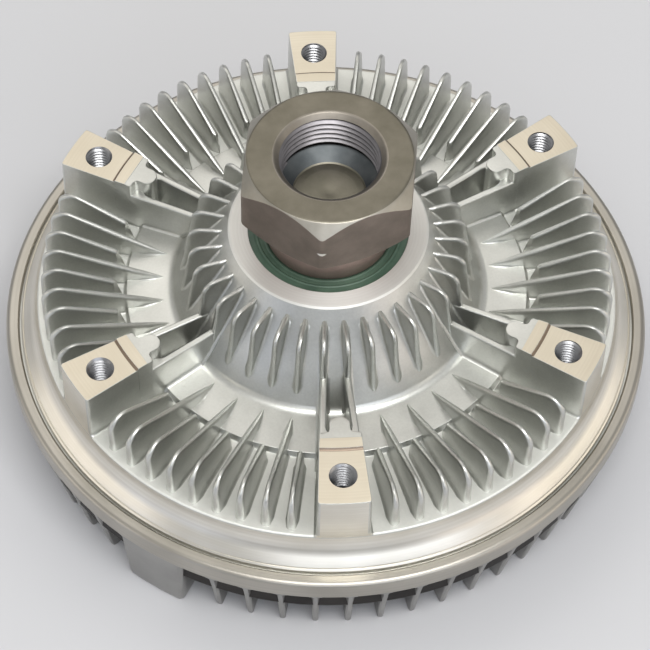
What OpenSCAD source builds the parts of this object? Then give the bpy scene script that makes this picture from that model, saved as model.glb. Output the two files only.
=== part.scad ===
/* [Fan pads] */
// Diameter of the fan bolt circle
bolt_circle = 154; // [148:1:162]
// Thread size of the fan bolt holes, drawn at the nominal diameter
bolt_d = 8; // [6:0.5:9]
// Depth of the fan bolt holes
bolt_depth = 15; // [10:0.5:17]
// Width of a pad at its outer end
pad_w = 15; // [13:0.5:18]
// Sideways draw-in of a pad flank per millimetre towards the hub
pad_taper = 0.07; // [0.03:0.01:0.09]
// Distance from the bolt circle to the outer end of a pad
pad_out = 9.1; // [7:0.1:11]
// Distance from the bolt circle in to the pilot step
pilot_in = 8.6; // [7:0.1:10]
// Radial width of the pilot step
pilot_w = 4.9; // [3:0.1:6]
// Height of the pilot step above the pad face
pilot_h = 0.6; // [0.3:0.1:1.5]
// Width of the tongue between a pad and the hub
tongue_w = 5.8; // [4:0.1:6.2]
// Length of the tongue
tongue_l = 5.8; // [4:0.1:8]
// Height of the pads above the floor between the fins
pad_h = 17.8; // [16:0.1:22]

/* [Rear housing] */
// Height of the hub face above the pads
hub_h = 12.2; // [9:0.1:16]
// Wall of the hub round the bearing at the hub face
hub_wall = 3.1; // [2.5:0.1:5]
// Diameter of the hub cone at its foot
hub_foot_d = 92.5; // [88:0.5:98]
// Outer diameter of the ledge round the hub
ledge_d = 119.2; // [112:0.2:122]
// Height of the ledge above the floor between the fins
ledge_h = 2.2; // [1.5:0.1:4]
// Thickness of the web under the floor
web_t = 4.2; // [3.5:0.1:6]
// Height of the fin crests above the floor
fin_h = 13.9; // [10:0.1:16]
// Slope of the fin tops towards the hub
fin_fall = 22.8; // [18:0.2:25]
// Radius of the outer top corner of a fin
fin_corner_r = 5; // [3:0.1:7]
// Gap from the outer end of the fins to the edge of the floor
fin_edge = 1.6; // [1:0.1:3]
// Thickness of a fin at the floor
fin_root_t = 2.4; // [1.8:0.1:3]
// Thickness of a fin at its crest
fin_tip_t = 1.3; // [1:0.1:1.8]
// Radial reach of the hub fins from the axis
hub_fin_r = 41; // [38:0.2:43]
// Depth of the hub fin tops below the hub face
hub_fin_drop = 3.4; // [2:0.1:6]
// Thickness of the two walls between a pad and the hub
trough_t = 1.9; // [1.4:0.1:2.2]
// Depth of the trough wall tops below the pads
trough_drop = 4; // [3:0.1:8]
// Height of the working chamber inside
chamber_h = 10.5; // [9:0.1:14]

/* [Front cover] */
// Height of the cover fins at the rim
cover_fin_h = 15.2; // [13:0.1:20]
// Thickness of a cover fin at the rim
cover_fin_root_t = 2.3; // [1.8:0.1:2.6]
// Thickness of a cover fin at its tip
cover_fin_tip_t = 1.7; // [1.2:0.1:1.8]
// Draw-in of the fin tips from the rim
cover_fin_draw = 5.3; // [3:0.1:8]
// Angle from a pad to the next cover fin
cover_turn = 1.1; // [0:0.1:5.9]
// Thickness of the cover plate at the rim
cover_t = 6.3; // [5.8:0.1:8]
// Radial flare of the rim beyond the floor edge
rim_flare = 10.2; // [9:0.1:13]
// Height of the rolled rim crown above the joint
rim_h = 4.6; // [4.2:0.1:6]
// Drop of the rim edge below the joint
rim_drop = 1.8; // [1:0.1:3]
// Step from the working face up to the joint
joint_h = 4; // [3:0.1:5]
// Radial width of the rolled lip
lip_w = 3.9; // [3.5:0.1:5]
// Angle covered by each of the two lugs
lug_angle = 12.4; // [10:0.2:14]
// Draw-in of the lug from the rim at its foot
lug_draw = 2; // [1:0.1:4]
// Diameter of the oil reservoir
reservoir_d = 104; // [98:0.5:108]
// Depth of the oil reservoir below the valve plate
reservoir_h = 7.3; // [6.8:0.1:7.6]
// Thickness of the reservoir floor
reservoir_floor_t = 4; // [3.5:0.1:4.6]
// Diameter of the clear recess round the coil
recess_d = 74; // [72:0.5:78]

/* [Input shaft] */
// Width of the hexagon across its flats
hex_af = 47.6; // [44:0.2:52]
// Turn of the hexagon's corner from a pad
hex_turn = -8; // [-30:1:30]
// Height of the hexagon top above the hub face
shaft_out = 32.7; // [30:0.1:38]
// Height of the hexagon
hex_h = 20; // [18:0.1:24]
// Depth of the corner chamfer at the hexagon top
hex_chamfer = 4.3; // [2:0.1:5]
// Thread size of the drive bore, drawn at the nominal diameter
thread_d = 30; // [26:1:34]
// Length of the drive thread
thread_l = 12; // [9:0.1:13]
// Chamfer at the mouth of the drive thread
thread_chamfer = 0.7; // [0.3:0.1:1.2]
// Diameter of the smooth floor of the drive bore
bore_floor_d = 21; // [16:0.5:24]
// Depth of the smooth bore below the thread
bore_floor_h = 3.7; // [2:0.1:5]
// Diameter of the neck at the bearing
neck_d = 32.8; // [31:0.2:34]
// Diameter of the shaft in the rotor
rotor_bore = 20; // [17:0.5:22]

/* [Bearing] */
// Outer diameter of the bearing
bearing_od = 52; // [50:0.5:56]
// Bore of the bearing
bearing_bore = 25; // [24:0.5:27]
// Width of the bearing
bearing_w = 20.4; // [20:0.1:22]
// Diameter of a ball
ball_d = 7; // [6.4:0.1:7.4]
// Number of balls in a row
ball_count = 13; // [8:1:14]
// Wall of the inner ring
inner_ring_t = 4.1; // [3.6:0.1:4.6]
// Wall of the outer ring
outer_ring_t = 3.6; // [3.2:0.1:4]
// Thickness of a bearing seal
seal_t = 1.1; // [0.8:0.1:1.2]
// Overhang of the hub lip on the bearing
hub_lip = 2.6; // [1.5:0.1:3]
// Thickness of the hub lip on the bearing
hub_lip_t = 0.7; // [0.5:0.1:1.5]

/* [Rotor] */
// Thickness of the rotor disc
rotor_t = 4; // [3.5:0.1:4.6]
// Thickness of a ring land
land_t = 2; // [1.5:0.1:2.4]
// Radial gap between the lands of the rotor and the housing
land_gap = 0.6; // [0.4:0.05:0.9]
// Outer diameter of the rotor hub
rotor_hub_d = 31; // [28:0.5:33]
// Diameter of the oil holes in the rotor disc
oil_hole_d = 6; // [4:0.5:8]
// Thickness of the rotor retaining ring
ring_t = 1.5; // [1:0.1:1.8]

/* [Thermostat valve] */
// Diameter of the valve plate
valve_plate_d = 121.6; // [118:0.2:124]
// Thickness of the valve plate
valve_plate_t = 1.2; // [0.8:0.1:1.6]
// Diameter of the circle of the fill ports
port_circle = 76; // [60:1:84]
// Diameter of a fill port
port_d = 7; // [5:0.5:9]
// Thickness of the valve arm
arm_t = 1; // [0.8:0.1:1.3]
// Width of the valve arm
arm_w = 7; // [5:0.5:9]
// Swing of the valve arm from closed to open
arm_swing = 28; // [20:1:34]
// Diameter of the valve shaft
valve_shaft_d = 7; // [6:0.5:8]
// Diameter of the coil over its outer turn
coil_d = 54; // [48:1:56]
// Thickness of the bimetal strip
strip_t = 0.8; // [0.6:0.1:1.2]
// Width of the bimetal strip
strip_w = 6.2; // [5:0.1:6.6]
// Number of turns of the coil
coil_turns = 4.5; // [3.5:1:4.5]

/* [Clearances] */
// Clearance of pieces that are pressed or laid together
fit_gap = 0.02; // [0.01:0.01:0.04]
// Clearance of the valve shaft in its bore
run_gap = 0.05; // [0.03:0.01:0.08]
// Clearance of the balls in their tracks and cages
ball_gap = 0.1; // [0.05:0.01:0.15]
// Clearance of the seals and the clip on what turns in them
seal_gap = 0.3; // [0.2:0.05:0.4]
// Axial clearance over and under the rotor lands
land_tip_gap = 0.8; // [0.5:0.1:1.2]
// Axial clearance between the rotor and the cover
rotor_gap = 1.6; // [1.4:0.1:2]
// Radial clearance round the rotor
rotor_edge_gap = 1.5; // [1:0.1:3]

/* [Hidden] */
$fn = 96;

// Levels above the tips of the cover fins
z_plate = cover_fin_h;
z_work = z_plate + cover_t;
z_seat = z_work - valve_plate_t;
z_joint = z_work + joint_h;
z_web = z_joint + chamber_h;
z_floor = z_web + web_t;
z_ledge = z_floor + ledge_h;
z_pad = z_floor + pad_h;
z_hub = z_pad + hub_h;
z_hex = z_hub + shaft_out;
z_rim = z_joint - rim_drop;
z_crown = z_joint + rim_h;
z_reservoir = z_seat - reservoir_h;
z_recess = z_reservoir - reservoir_floor_t;

// Radii of the housing and the cover
bolt_r = bolt_circle / 2;
pad_r = bolt_r + pad_out;
pilot_r = bolt_r - pilot_in;
pad_in_r = pilot_r - pilot_w;
floor_r = pad_r;
rim_r = floor_r + rim_flare;
lip_r = rim_r - lip_w;
lip_grip = 1;
flange_r = lip_r + lip_grip;
seam_w = 0.7;
cover_wall_r = rim_r - 1.9;
chamber_r = floor_r + 0.4;
chamber_chamfer = 3;
ledge_r = ledge_d / 2;
ledge_fall = 1;
step_w = 0.8;
foot_r = hub_foot_d / 2;
foot_fillet = 2.5;
hub_r = bearing_od / 2 + hub_wall;
hub_edge = 0.5;
sunk = 1;

// Pattern of pads and fins
pad_count = 6;
pad_step = 360 / pad_count;
first_pad = -90;
fins_between = 9;
fin_step = 5;
first_fin = (pad_step - (fins_between - 1) * fin_step) / 2;
hub_fin_step = 10;
fin_out_r = floor_r - fin_edge;
short_fin_in_r = ledge_r + step_w + 2.2;
long_fin_in_r = foot_r + 3.5;
cover_fin_step = 6;
lug_slot = 3;
first_cover_fin = first_pad + cover_turn;
lug_at = first_cover_fin - 6 * cover_fin_step;
lug_in_r = reservoir_d / 2 + 2;

// Bearing
bearing_top = z_hub - hub_lip_t;
bearing_bottom = bearing_top - bearing_w;
bearing_mid = bearing_top - bearing_w / 2;
inner_ring_r = bearing_bore / 2 + inner_ring_t;
outer_ring_in_r = bearing_od / 2 - outer_ring_t;
ball_track_r = (inner_ring_r + outer_ring_in_r) / 2;
cage_rail = 0.65;
cage_half_h = ball_d / 2 + ball_gap + cage_rail;
cage_half_w = 1.2;
row_shift = cage_half_h + 0.3;
seal_r = bearing_od / 2 - hub_lip - 0.1;
shoulder_t = 2.1;
shoulder_w = 3.2;

// Rotor and shaft
rotor_z = z_work + rotor_gap;
rotor_top = rotor_z + rotor_t;
rotor_r = chamber_r - rotor_edge_gap;
rotor_hub_r = rotor_hub_d / 2;
rotor_flange_r = rotor_hub_r + 4.5;
rotor_flange_h = 5.9;
ring_pocket_r = rotor_hub_r + 0.5;
ring_top = rotor_top - 0.4;
ring_bottom = ring_top - ring_t;
ring_groove_r = rotor_bore / 2 - 1.2;
ring_r = rotor_bore / 2 + 4;
shaft_end = rotor_z + 0.8;
land_pitch = 2 * (land_t + land_gap);
land_r = foot_r;
land_count = floor((chamber_r - chamber_chamfer - 2 * land_t - land_r) / land_pitch);
wiper_h = 2.9;
wiper_gap = 0.8;
wiper_in_r = rotor_r - 5;
wiper_w = 9;
wiper_turn = 5;
wiper_pin_d = 2.8;
wiper_pin_l = 2.7;
rotor_relief_r = wiper_in_r - 2;
rotor_relief_z = z_work + wiper_h + wiper_gap;
hex_r = hex_af / 2 / cos(30);
hex_z = z_hex - hex_h;
hex_under = 3.7;
neck_fillet = 4;
return_d = 3.2;
return_r = wiper_in_r + 2.5;
return_z = z_plate + 1.6;
return_rise = 1;

// Thermostat valve
valve_r = valve_shaft_d / 2;
boss_r = valve_r + 4.5;
boss_top = z_reservoir + 4;
collar_r = valve_r + 1.5;
arm_plate_gap = 0.4;
arm_top = z_seat - arm_plate_gap;
arm_z = arm_top - arm_t;
collar_z = boss_top + seal_gap;
spigot_r = valve_r - 1;
spigot_up = 0.25;
arm_hub_r = arm_w;
arm_pad_r = port_d / 2 + 2;
arm_rest = 20;
stop_d = 3.6;
stop_r = 24;
stop_turn = asin((arm_w + stop_d) / 2 / stop_r) + 0.7;
clip_t = 0.8;
clip_top = z_recess - seal_gap;
clip_groove = 1.1;
clip_r = valve_r + 2.5;
o_ring_d = 1.3;
o_ring_z = (z_recess + boss_top) / 2;
valve_screw_d = 3;
valve_screw_head_d = 5.2;
valve_screw_head_h = 0.8;
valve_screw_l = 4;
valve_screw_r = (reservoir_d / 2 + valve_plate_d / 2) / 2 + 1;
valve_ear_r = valve_screw_head_d / 2 + 0.4;
valve_screw_turns = [for (k = [0 : 5]) lug_at + 30 + 60 * k];
coil_top = clip_top - clip_t - 0.6;
coil_z = coil_top - strip_w;
coil_in_r = valve_r + 1.1;
coil_out_r = coil_d / 2;
slot_w = strip_t + 0.2;
anchor_t = 1.2;
anchor_in_r = coil_out_r + 1.2;
anchor_l = 4.8;
anchor_w = 7;
anchor_turn = 28;
anchor_screw_d = 4;
anchor_screw_head_d = 7;
anchor_screw_head_h = 2.2;
anchor_screw_l = 3.6;
tab_out_r = anchor_in_r + 2.6;

function unit(v) = v / norm(v);

// Points of a round of radius r at b, between the lines to a and to c
function round_at(a, b, c, r, n = 5) =
    let (u = unit(a - b),
         v = unit(c - b),
         half = acos(u * v) / 2,
         mid = b + unit(u + v) * r / sin(half),
         p = b + u * r / tan(half) - mid,
         q = b + v * r / tan(half) - mid,
         start = atan2(p[1], p[0]),
         turn = (atan2(q[1], q[0]) - start + 540) % 360 - 180)
    [for (i = [0 : n]) mid + r * [cos(start + turn * i / n), sin(start + turn * i / n)]];

// Half width of a pad and its trough at distance r from the axis
function pad_half(r) = pad_w / 2 - pad_taper * (pad_r - r);

// Height of the sloping fin top at distance r from the axis
function fin_line(r) =
    let (tan_r = fin_out_r - fin_corner_r * (1 + sin(fin_fall)),
         tan_z = z_floor + fin_h - fin_corner_r * (1 - cos(fin_fall)))
    tan_z - (tan_r - r) * tan(fin_fall);

module turned(points) {
    rotate_extrude() polygon(points);
}

module ring(r_in, r_out, z0, z1) {
    rotate_extrude()
        translate([r_in, z0])
            square([r_out - r_in, z1 - z0]);
}

module pin(r, z0, z1) {
    translate([0, 0, z0]) cylinder(r = r, h = z1 - z0);
}

module around(angles) {
    for (a = angles) rotate([0, 0, a]) children();
}

// Radial plate with the given outline in radius and height, thinner towards its tip
module radial_fin(outline, root_t, tip_t, root_z, tip_z) {
    reach = rim_r + 1;
    intersection() {
        rotate([90, 0, 0])
            linear_extrude(height = root_t + 2, center = true)
                polygon(outline);
        rotate([90, 0, 90])
            linear_extrude(height = reach)
                polygon([[-root_t / 2, root_z], [root_t / 2, root_z],
                         [tip_t / 2, tip_z], [-tip_t / 2, tip_z]]);
    }
}

module outer_fin(inner_end) {
    foot = z_floor - sunk;
    corner = [for (i = [0 : 8]) let (a = (90 + fin_fall) * (1 - i / 8))
              [fin_out_r - fin_corner_r, z_floor + fin_h - fin_corner_r]
              + fin_corner_r * [cos(a), sin(a)]];
    radial_fin(concat(inner_end, corner, [[fin_out_r, foot]]),
               fin_root_t, fin_tip_t, foot, z_floor + fin_h);
}

module short_fin() {
    foot = z_floor - sunk;
    outer_fin([[short_fin_in_r - 2.2, foot],
               [short_fin_in_r - 2.2, z_floor + ledge_h / 2],
               [short_fin_in_r, fin_line(short_fin_in_r)]]);
}

module long_fin() {
    foot = z_floor - sunk;
    outer_fin([[long_fin_in_r, foot],
               [long_fin_in_r, min(z_ledge, fin_line(long_fin_in_r))]]);
}

module hub_fin() {
    top = z_hub - hub_fin_drop;
    foot = z_ledge;
    inner = hub_r - 1.2;
    radial_fin(concat([[inner, foot], [inner, top]],
                      round_at([inner, top], [hub_fin_r, top], [hub_fin_r, foot], 4, 7),
                      [[hub_fin_r, foot]]),
               fin_root_t, fin_tip_t, foot, top);
}

module pad() {
    nose_r = pad_in_r - tongue_l + tongue_w / 2;
    foot = z_floor - sunk;
    translate([0, 0, foot])
        linear_extrude(height = z_pad - foot) {
            polygon([[pad_r, -pad_half(pad_r)], [pad_r, pad_half(pad_r)],
                     [pad_in_r, pad_half(pad_in_r)], [pad_in_r, -pad_half(pad_in_r)]]);
            translate([nose_r, -tongue_w / 2])
                square([pad_in_r - nose_r + sunk, tongue_w]);
            translate([nose_r, 0]) circle(d = tongue_w);
        }
    translate([0, 0, z_pad - sunk])
        linear_extrude(height = pilot_h + sunk)
            polygon([[pilot_r, -pad_half(pilot_r)], [pilot_r, pad_half(pilot_r)],
                     [pad_in_r, pad_half(pad_in_r)], [pad_in_r, -pad_half(pad_in_r)]]);
}

module trough_wall() {
    inner = hub_r + 5;
    outer = pad_in_r + sunk;
    foot = z_floor - sunk;
    translate([0, 0, foot])
        linear_extrude(height = z_pad - trough_drop - foot)
            polygon([[inner, pad_half(inner)], [outer, pad_half(outer)],
                     [outer, pad_half(outer) - trough_t], [inner, pad_half(inner) - trough_t]]);
}

module rear_housing() {
    pads = [for (k = [0 : pad_count - 1]) first_pad + pad_step * k];
    bearing_r = bearing_od / 2 + fit_gap;
    lip_in_r = bearing_od / 2 - hub_lip;
    shoulder_r = bearing_od / 2 - shoulder_w;
    recess_top = bearing_bottom - shoulder_t;
    hub_edge_at = [hub_r, z_hub - hub_edge];
    foot_at = [foot_r, z_ledge + ledge_fall / 2];
    ledge_at = [ledge_r, z_ledge - ledge_fall / 2];
    cone_top = [floor_r + 2.1, z_floor - 5.4];
    cone_foot = [lip_r - seam_w, z_joint + 4.9];
    seal_mid_r = (chamber_r + flange_r) / 2;
    color("#c6c7c1")
    difference() {
        union() {
            turned(concat(
                [[lip_in_r, z_hub], [hub_r - hub_edge, z_hub], hub_edge_at],
                round_at(hub_edge_at, foot_at, ledge_at, foot_fillet),
                [ledge_at, [ledge_r + step_w, z_floor], [floor_r, z_floor]],
                round_at([floor_r + 0.3, z_floor], [floor_r + 0.6, z_floor - 3.2], cone_top, 5),
                [cone_top, cone_foot, [lip_r - seam_w, z_joint + 3.1]],
                [[flange_r - lip_grip, z_joint + 3.1], [flange_r, z_joint + 2.1]],
                [[flange_r, z_joint], [chamber_r, z_joint]],
                [[chamber_r, z_web - chamber_chamfer], [chamber_r - chamber_chamfer, z_web]],
                [[shoulder_r + 15, z_web], [shoulder_r + 1.7, recess_top], [shoulder_r, recess_top]],
                [[shoulder_r, bearing_bottom], [bearing_r, bearing_bottom]],
                [[bearing_r, bearing_top], [lip_in_r, bearing_top]]));
            for (i = [0 : land_count - 1])
                ring(land_r + i * land_pitch, land_r + i * land_pitch + land_t,
                     rotor_top + land_tip_gap, z_web + sunk);
            around(pads) {
                pad();
                trough_wall();
                mirror([0, 1, 0]) trough_wall();
                for (j = [0 : fins_between - 1])
                    rotate([0, 0, first_fin + j * fin_step])
                        if (j % 2 == 0) short_fin(); else long_fin();
            }
            around([for (a = [hub_fin_step / 2 : hub_fin_step : 359]) first_pad + a]) hub_fin();
        }
        around(pads)
            translate([bolt_r, 0, z_pad - bolt_depth])
                cylinder(d = bolt_d, h = bolt_depth + 2);
        ring(seal_mid_r - 1, seal_mid_r + 1, z_joint - sunk, z_joint + 1.7);
    }
}

module cover_fin(inner_r) {
    inner_z = z_recess + sunk;
    root_z = z_plate + sunk;
    top = [rim_r - 0.1, z_rim + 0.3];
    tip = [rim_r - cover_fin_draw, 0];
    wall_r = cover_wall_r - sunk;
    slope_in = reservoir_d / 2 - 6;
    slope_out = reservoir_d / 2 + 6;
    start = inner_r < slope_in
        ? [[inner_r, 0], [inner_r, inner_z], [slope_in, inner_z], [slope_out, root_z]]
        : [[inner_r, 0], [inner_r, root_z]];
    radial_fin(concat(start,
                      [[wall_r, root_z], [wall_r, top[1]], top],
                      round_at(top, tip, [inner_r, 0], 1)),
               cover_fin_tip_t, cover_fin_root_t, 0, z_rim + sunk);
}

module cover_lug() {
    foot_out = rim_r - lug_draw;
    rotate([0, 0, -lug_angle / 2])
        rotate_extrude(angle = lug_angle)
            polygon(concat(
                [[lug_in_r, 0], [lug_in_r, z_plate + sunk], [cover_wall_r - sunk, z_plate + sunk]],
                [[cover_wall_r - sunk, z_rim + 0.3], [rim_r - 0.1, z_rim + 0.3]],
                round_at([rim_r - 0.1, z_rim + 0.3], [foot_out, 0], [lug_in_r, 0], 1)));
}

// Slanting drilling from the reservoir to the working face at a lug
module return_passage() {
    run = return_r - reservoir_d / 2 + 4;
    slant = atan(return_rise / run);
    translate([return_r, 0, return_z])
        rotate([0, -90 + slant, 0])
            cylinder(d = return_d, h = run);
    translate([return_r, 0, return_z])
        cylinder(d = return_d, h = z_work - return_z + 1);
}

module front_cover() {
    reservoir_r = reservoir_d / 2;
    plate_r = valve_plate_d / 2 + fit_gap;
    recess_r = recess_d / 2;
    grip_r = flange_r + fit_gap;
    crown = [rim_r, z_crown];
    crown_in = [lip_r + 0.9, z_crown];
    lip_top = [lip_r, z_joint + 3.9];
    lugs = [lug_at, lug_at + 180];
    fin_slots = [for (i = [0 : 360 / cover_fin_step - 1]) i];
    slots_per_side = 180 / cover_fin_step;
    color("#a9aba7")
    difference() {
        union() {
            turned(concat(
                [[valve_r + run_gap, z_recess], [reservoir_r - 6, z_recess]],
                [[reservoir_r + 6, z_plate], [cover_wall_r, z_plate], [cover_wall_r, z_rim]],
                [[rim_r, z_rim]],
                round_at([rim_r, z_rim], crown, crown_in, 2.5, 8),
                [crown_in, lip_top, [lip_r, z_joint + 3.1 + fit_gap]],
                [[grip_r, z_joint + 2.1 + fit_gap], [grip_r, z_joint]],
                [[chamber_r, z_joint], [chamber_r, z_work], [plate_r, z_work], [plate_r, z_seat]],
                [[reservoir_r, z_seat], [reservoir_r, z_reservoir], [boss_r, z_reservoir]],
                [[boss_r, boss_top], [valve_r + run_gap, boss_top]]));
            for (i = fin_slots)
                if ((i + lug_slot + 4) % slots_per_side > 2)
                    rotate([0, 0, first_cover_fin + i * cover_fin_step])
                        cover_fin(i % 2 == 0 ? recess_r : reservoir_r + 7);
            around(lugs) cover_lug();
            around([arm_rest + arm_swing + stop_turn, arm_rest + 180 - stop_turn])
                translate([stop_r, 0, z_reservoir - sunk])
                    cylinder(d = stop_d, h = arm_top - z_reservoir + sunk);
        }
        around(lugs) return_passage();
        around(valve_screw_turns)
            translate([valve_screw_r, 0, 0]) {
                pin(valve_screw_d / 2 + fit_gap, z_seat - valve_screw_l, z_seat + sunk);
                pin(valve_ear_r + fit_gap, z_seat, z_work + sunk);
            }
        around(lugs)
            rotate([0, 0, wiper_turn])
                translate([(wiper_in_r + rotor_r) / 2, 0, z_work - wiper_pin_l])
                    cylinder(d = wiper_pin_d + 2 * fit_gap, h = wiper_pin_l + sunk);
        rotate([0, 0, 180 + anchor_turn])
            translate([anchor_in_r + anchor_l / 2, 0, z_recess - sunk])
                cylinder(d = anchor_screw_d + 2 * fit_gap, h = anchor_screw_l - anchor_t + sunk);
    }
}

module rim_seal() {
    seal_mid_r = (chamber_r + flange_r) / 2;
    section_r = 0.85 - fit_gap;
    color("#2b2b2b")
    rotate_extrude()
        translate([seal_mid_r, z_joint + 0.85])
            circle(r = section_r, $fn = 32);
}

module input_shaft() {
    journal_r = bearing_bore / 2 - fit_gap;
    seat_r = rotor_bore / 2 - fit_gap;
    neck_r = neck_d / 2;
    step_z = bearing_bottom + 0.5;
    thread_end = z_hex - thread_chamfer - thread_l;
    thread_r = thread_d / 2;
    wall_r = thread_r - 0.8;
    bore_end = thread_end - bore_floor_h;
    under_r = hex_af / 2 - 1.8;
    neck_top = [neck_r + 1, hex_z];
    neck_foot = [neck_r, bearing_top];
    color("#7d756c")
    difference() {
        union() {
            turned(concat(
                [[0, shaft_end], [seat_r - 0.8, shaft_end], [seat_r, shaft_end + 0.8]],
                [[seat_r, ring_bottom - fit_gap], [ring_groove_r, ring_bottom - fit_gap]],
                [[ring_groove_r, ring_top], [seat_r, ring_top]],
                [[seat_r, step_z], [journal_r, step_z], [journal_r, bearing_top], neck_foot],
                round_at(neck_foot, neck_top, [under_r, hex_z], neck_fillet),
                [[under_r, hex_z], [under_r, hex_z + 1], [0, hex_z + 1]]));
            intersection() {
                rotate([0, 0, first_pad + hex_turn])
                    translate([0, 0, hex_z])
                        cylinder(r = hex_r, h = hex_h, $fn = 6);
                turned([[0, hex_z], [under_r, hex_z], [hex_r + 0.1, hex_z + hex_under],
                        [hex_r + 0.1, z_hex - hex_chamfer], [hex_af / 2, z_hex], [0, z_hex]]);
            }
        }
        turned([[0, bore_end], [bore_floor_d / 2, bore_end], [wall_r, thread_end],
                [thread_r, thread_end], [thread_r, z_hex - thread_chamfer],
                [thread_r + thread_chamfer, z_hex], [thread_r + thread_chamfer, z_hex + 1],
                [0, z_hex + 1]]);
    }
}

// The two tracks that the balls leave in a bearing ring
module ball_tracks() {
    for (side = [-1, 1])
        rotate_extrude()
            translate([ball_track_r, bearing_mid + side * row_shift])
                circle(r = ball_d / 2 + ball_gap, $fn = 48);
}

module bearing_outer_ring() {
    rebate_r = seal_r + fit_gap;
    color("#b9bcbf")
    difference() {
        ring(outer_ring_in_r, bearing_od / 2, bearing_bottom, bearing_top);
        ring(outer_ring_in_r - 1, rebate_r, bearing_top - seal_t - 0.1, bearing_top + 1);
        ring(outer_ring_in_r - 1, rebate_r, bearing_bottom - 1, bearing_bottom + seal_t + 0.1);
        ball_tracks();
    }
}

module bearing_inner_ring() {
    color("#b9bcbf")
    difference() {
        ring(bearing_bore / 2, inner_ring_r, bearing_bottom, bearing_top);
        ball_tracks();
    }
}

module bearing_balls() {
    color("#d5d8da")
    for (side = [-1, 1])
        around([for (i = [0 : ball_count - 1]) (i + side / 4) * 360 / ball_count])
            translate([ball_track_r, 0, bearing_mid + side * row_shift])
                sphere(d = ball_d, $fn = 32);
}

module bearing_cage(side) {
    mid = bearing_mid + side * row_shift;
    color("#8c6b3a")
    difference() {
        ring(ball_track_r - cage_half_w, ball_track_r + cage_half_w,
             mid - cage_half_h, mid + cage_half_h);
        around([for (i = [0 : ball_count - 1]) (i + side / 4) * 360 / ball_count])
            translate([ball_track_r, 0, mid])
                sphere(r = ball_d / 2 + ball_gap, $fn = 32);
    }
}

module bearing_cage_rear() {
    bearing_cage(1);
}

module bearing_cage_front() {
    bearing_cage(-1);
}

// Seal disc that dishes down towards the inner ring, face at z = 0
module seal_disc() {
    lip_r = inner_ring_r + seal_gap;
    dish = 0.5;
    color("#3c6a4f")
    turned([[lip_r, -seal_t], [seal_r, -seal_t], [seal_r, -0.1], [seal_r - 1.5, 0],
            [lip_r + 1.5, -0.1], [lip_r, -dish]]);
}

module bearing_seal_rear() {
    translate([0, 0, bearing_top - 0.1]) seal_disc();
}

module bearing_seal_front() {
    translate([0, 0, bearing_bottom + 0.1]) mirror([0, 0, 1]) seal_disc();
}

module clutch_rotor() {
    hub_top = bearing_bottom;
    bore_r = rotor_bore / 2;
    oil_r = (rotor_flange_r + land_r) / 2;
    color("#b3b6b5")
    difference() {
        union() {
            turned([[bore_r, ring_top], [ring_pocket_r, ring_top], [ring_pocket_r, rotor_z],
                    [rotor_relief_r, rotor_z], [rotor_relief_r, rotor_relief_z],
                    [rotor_r, rotor_relief_z], [rotor_r, rotor_top],
                    [rotor_flange_r, rotor_top], [rotor_flange_r - 2, rotor_top + rotor_flange_h],
                    [rotor_hub_r, rotor_top + rotor_flange_h + 2], [rotor_hub_r, hub_top],
                    [bore_r, hub_top]]);
            for (i = [0 : land_count - 1])
                ring(land_r + (i + 0.5) * land_pitch, land_r + (i + 0.5) * land_pitch + land_t,
                     rotor_top - sunk, z_web - land_tip_gap);
        }
        around([0 : 60 : 300])
            translate([oil_r, 0, rotor_z - 1])
                cylinder(d = oil_hole_d, h = rotor_t + 2);
    }
}

module rotor_retaining_ring() {
    gap_angle = 40;
    color("#4a4d52")
    rotate_extrude(angle = 360 - gap_angle)
        translate([ring_groove_r + fit_gap, ring_bottom])
            square([ring_r - ring_groove_r - fit_gap, ring_t - fit_gap]);
}

// Plate whose ears keep a rim round the screws where it is hardly wider than the reservoir
module valve_plate() {
    color("#b8b4a4")
    translate([0, 0, z_seat])
        linear_extrude(height = valve_plate_t)
            difference() {
                union() {
                    circle(d = valve_plate_d);
                    around(valve_screw_turns)
                        translate([valve_screw_r, 0]) circle(r = valve_ear_r);
                }
                around([arm_rest, arm_rest + 180])
                    translate([port_circle / 2, 0]) circle(d = port_d);
                around(valve_screw_turns)
                    translate([valve_screw_r, 0]) circle(r = valve_screw_d / 2 + fit_gap);
            }
}

module valve_plate_screws() {
    color("#8e9196")
    around(valve_screw_turns)
        translate([valve_screw_r, 0, 0]) {
            pin(valve_screw_d / 2, z_seat - valve_screw_l, z_work + valve_screw_head_h / 2);
            pin(valve_screw_head_d / 2, z_work, z_work + valve_screw_head_h);
        }
}

module valve_arm() {
    color("#a8a294")
    rotate([0, 0, arm_rest])
        translate([0, 0, arm_z])
            linear_extrude(height = arm_t)
                difference() {
                    union() {
                        circle(r = arm_hub_r);
                        square([port_circle, arm_w], center = true);
                        for (side = [-1, 1])
                            translate([side * port_circle / 2, 0]) circle(r = arm_pad_r);
                    }
                    circle(r = spigot_r + fit_gap);
                }
}

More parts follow.
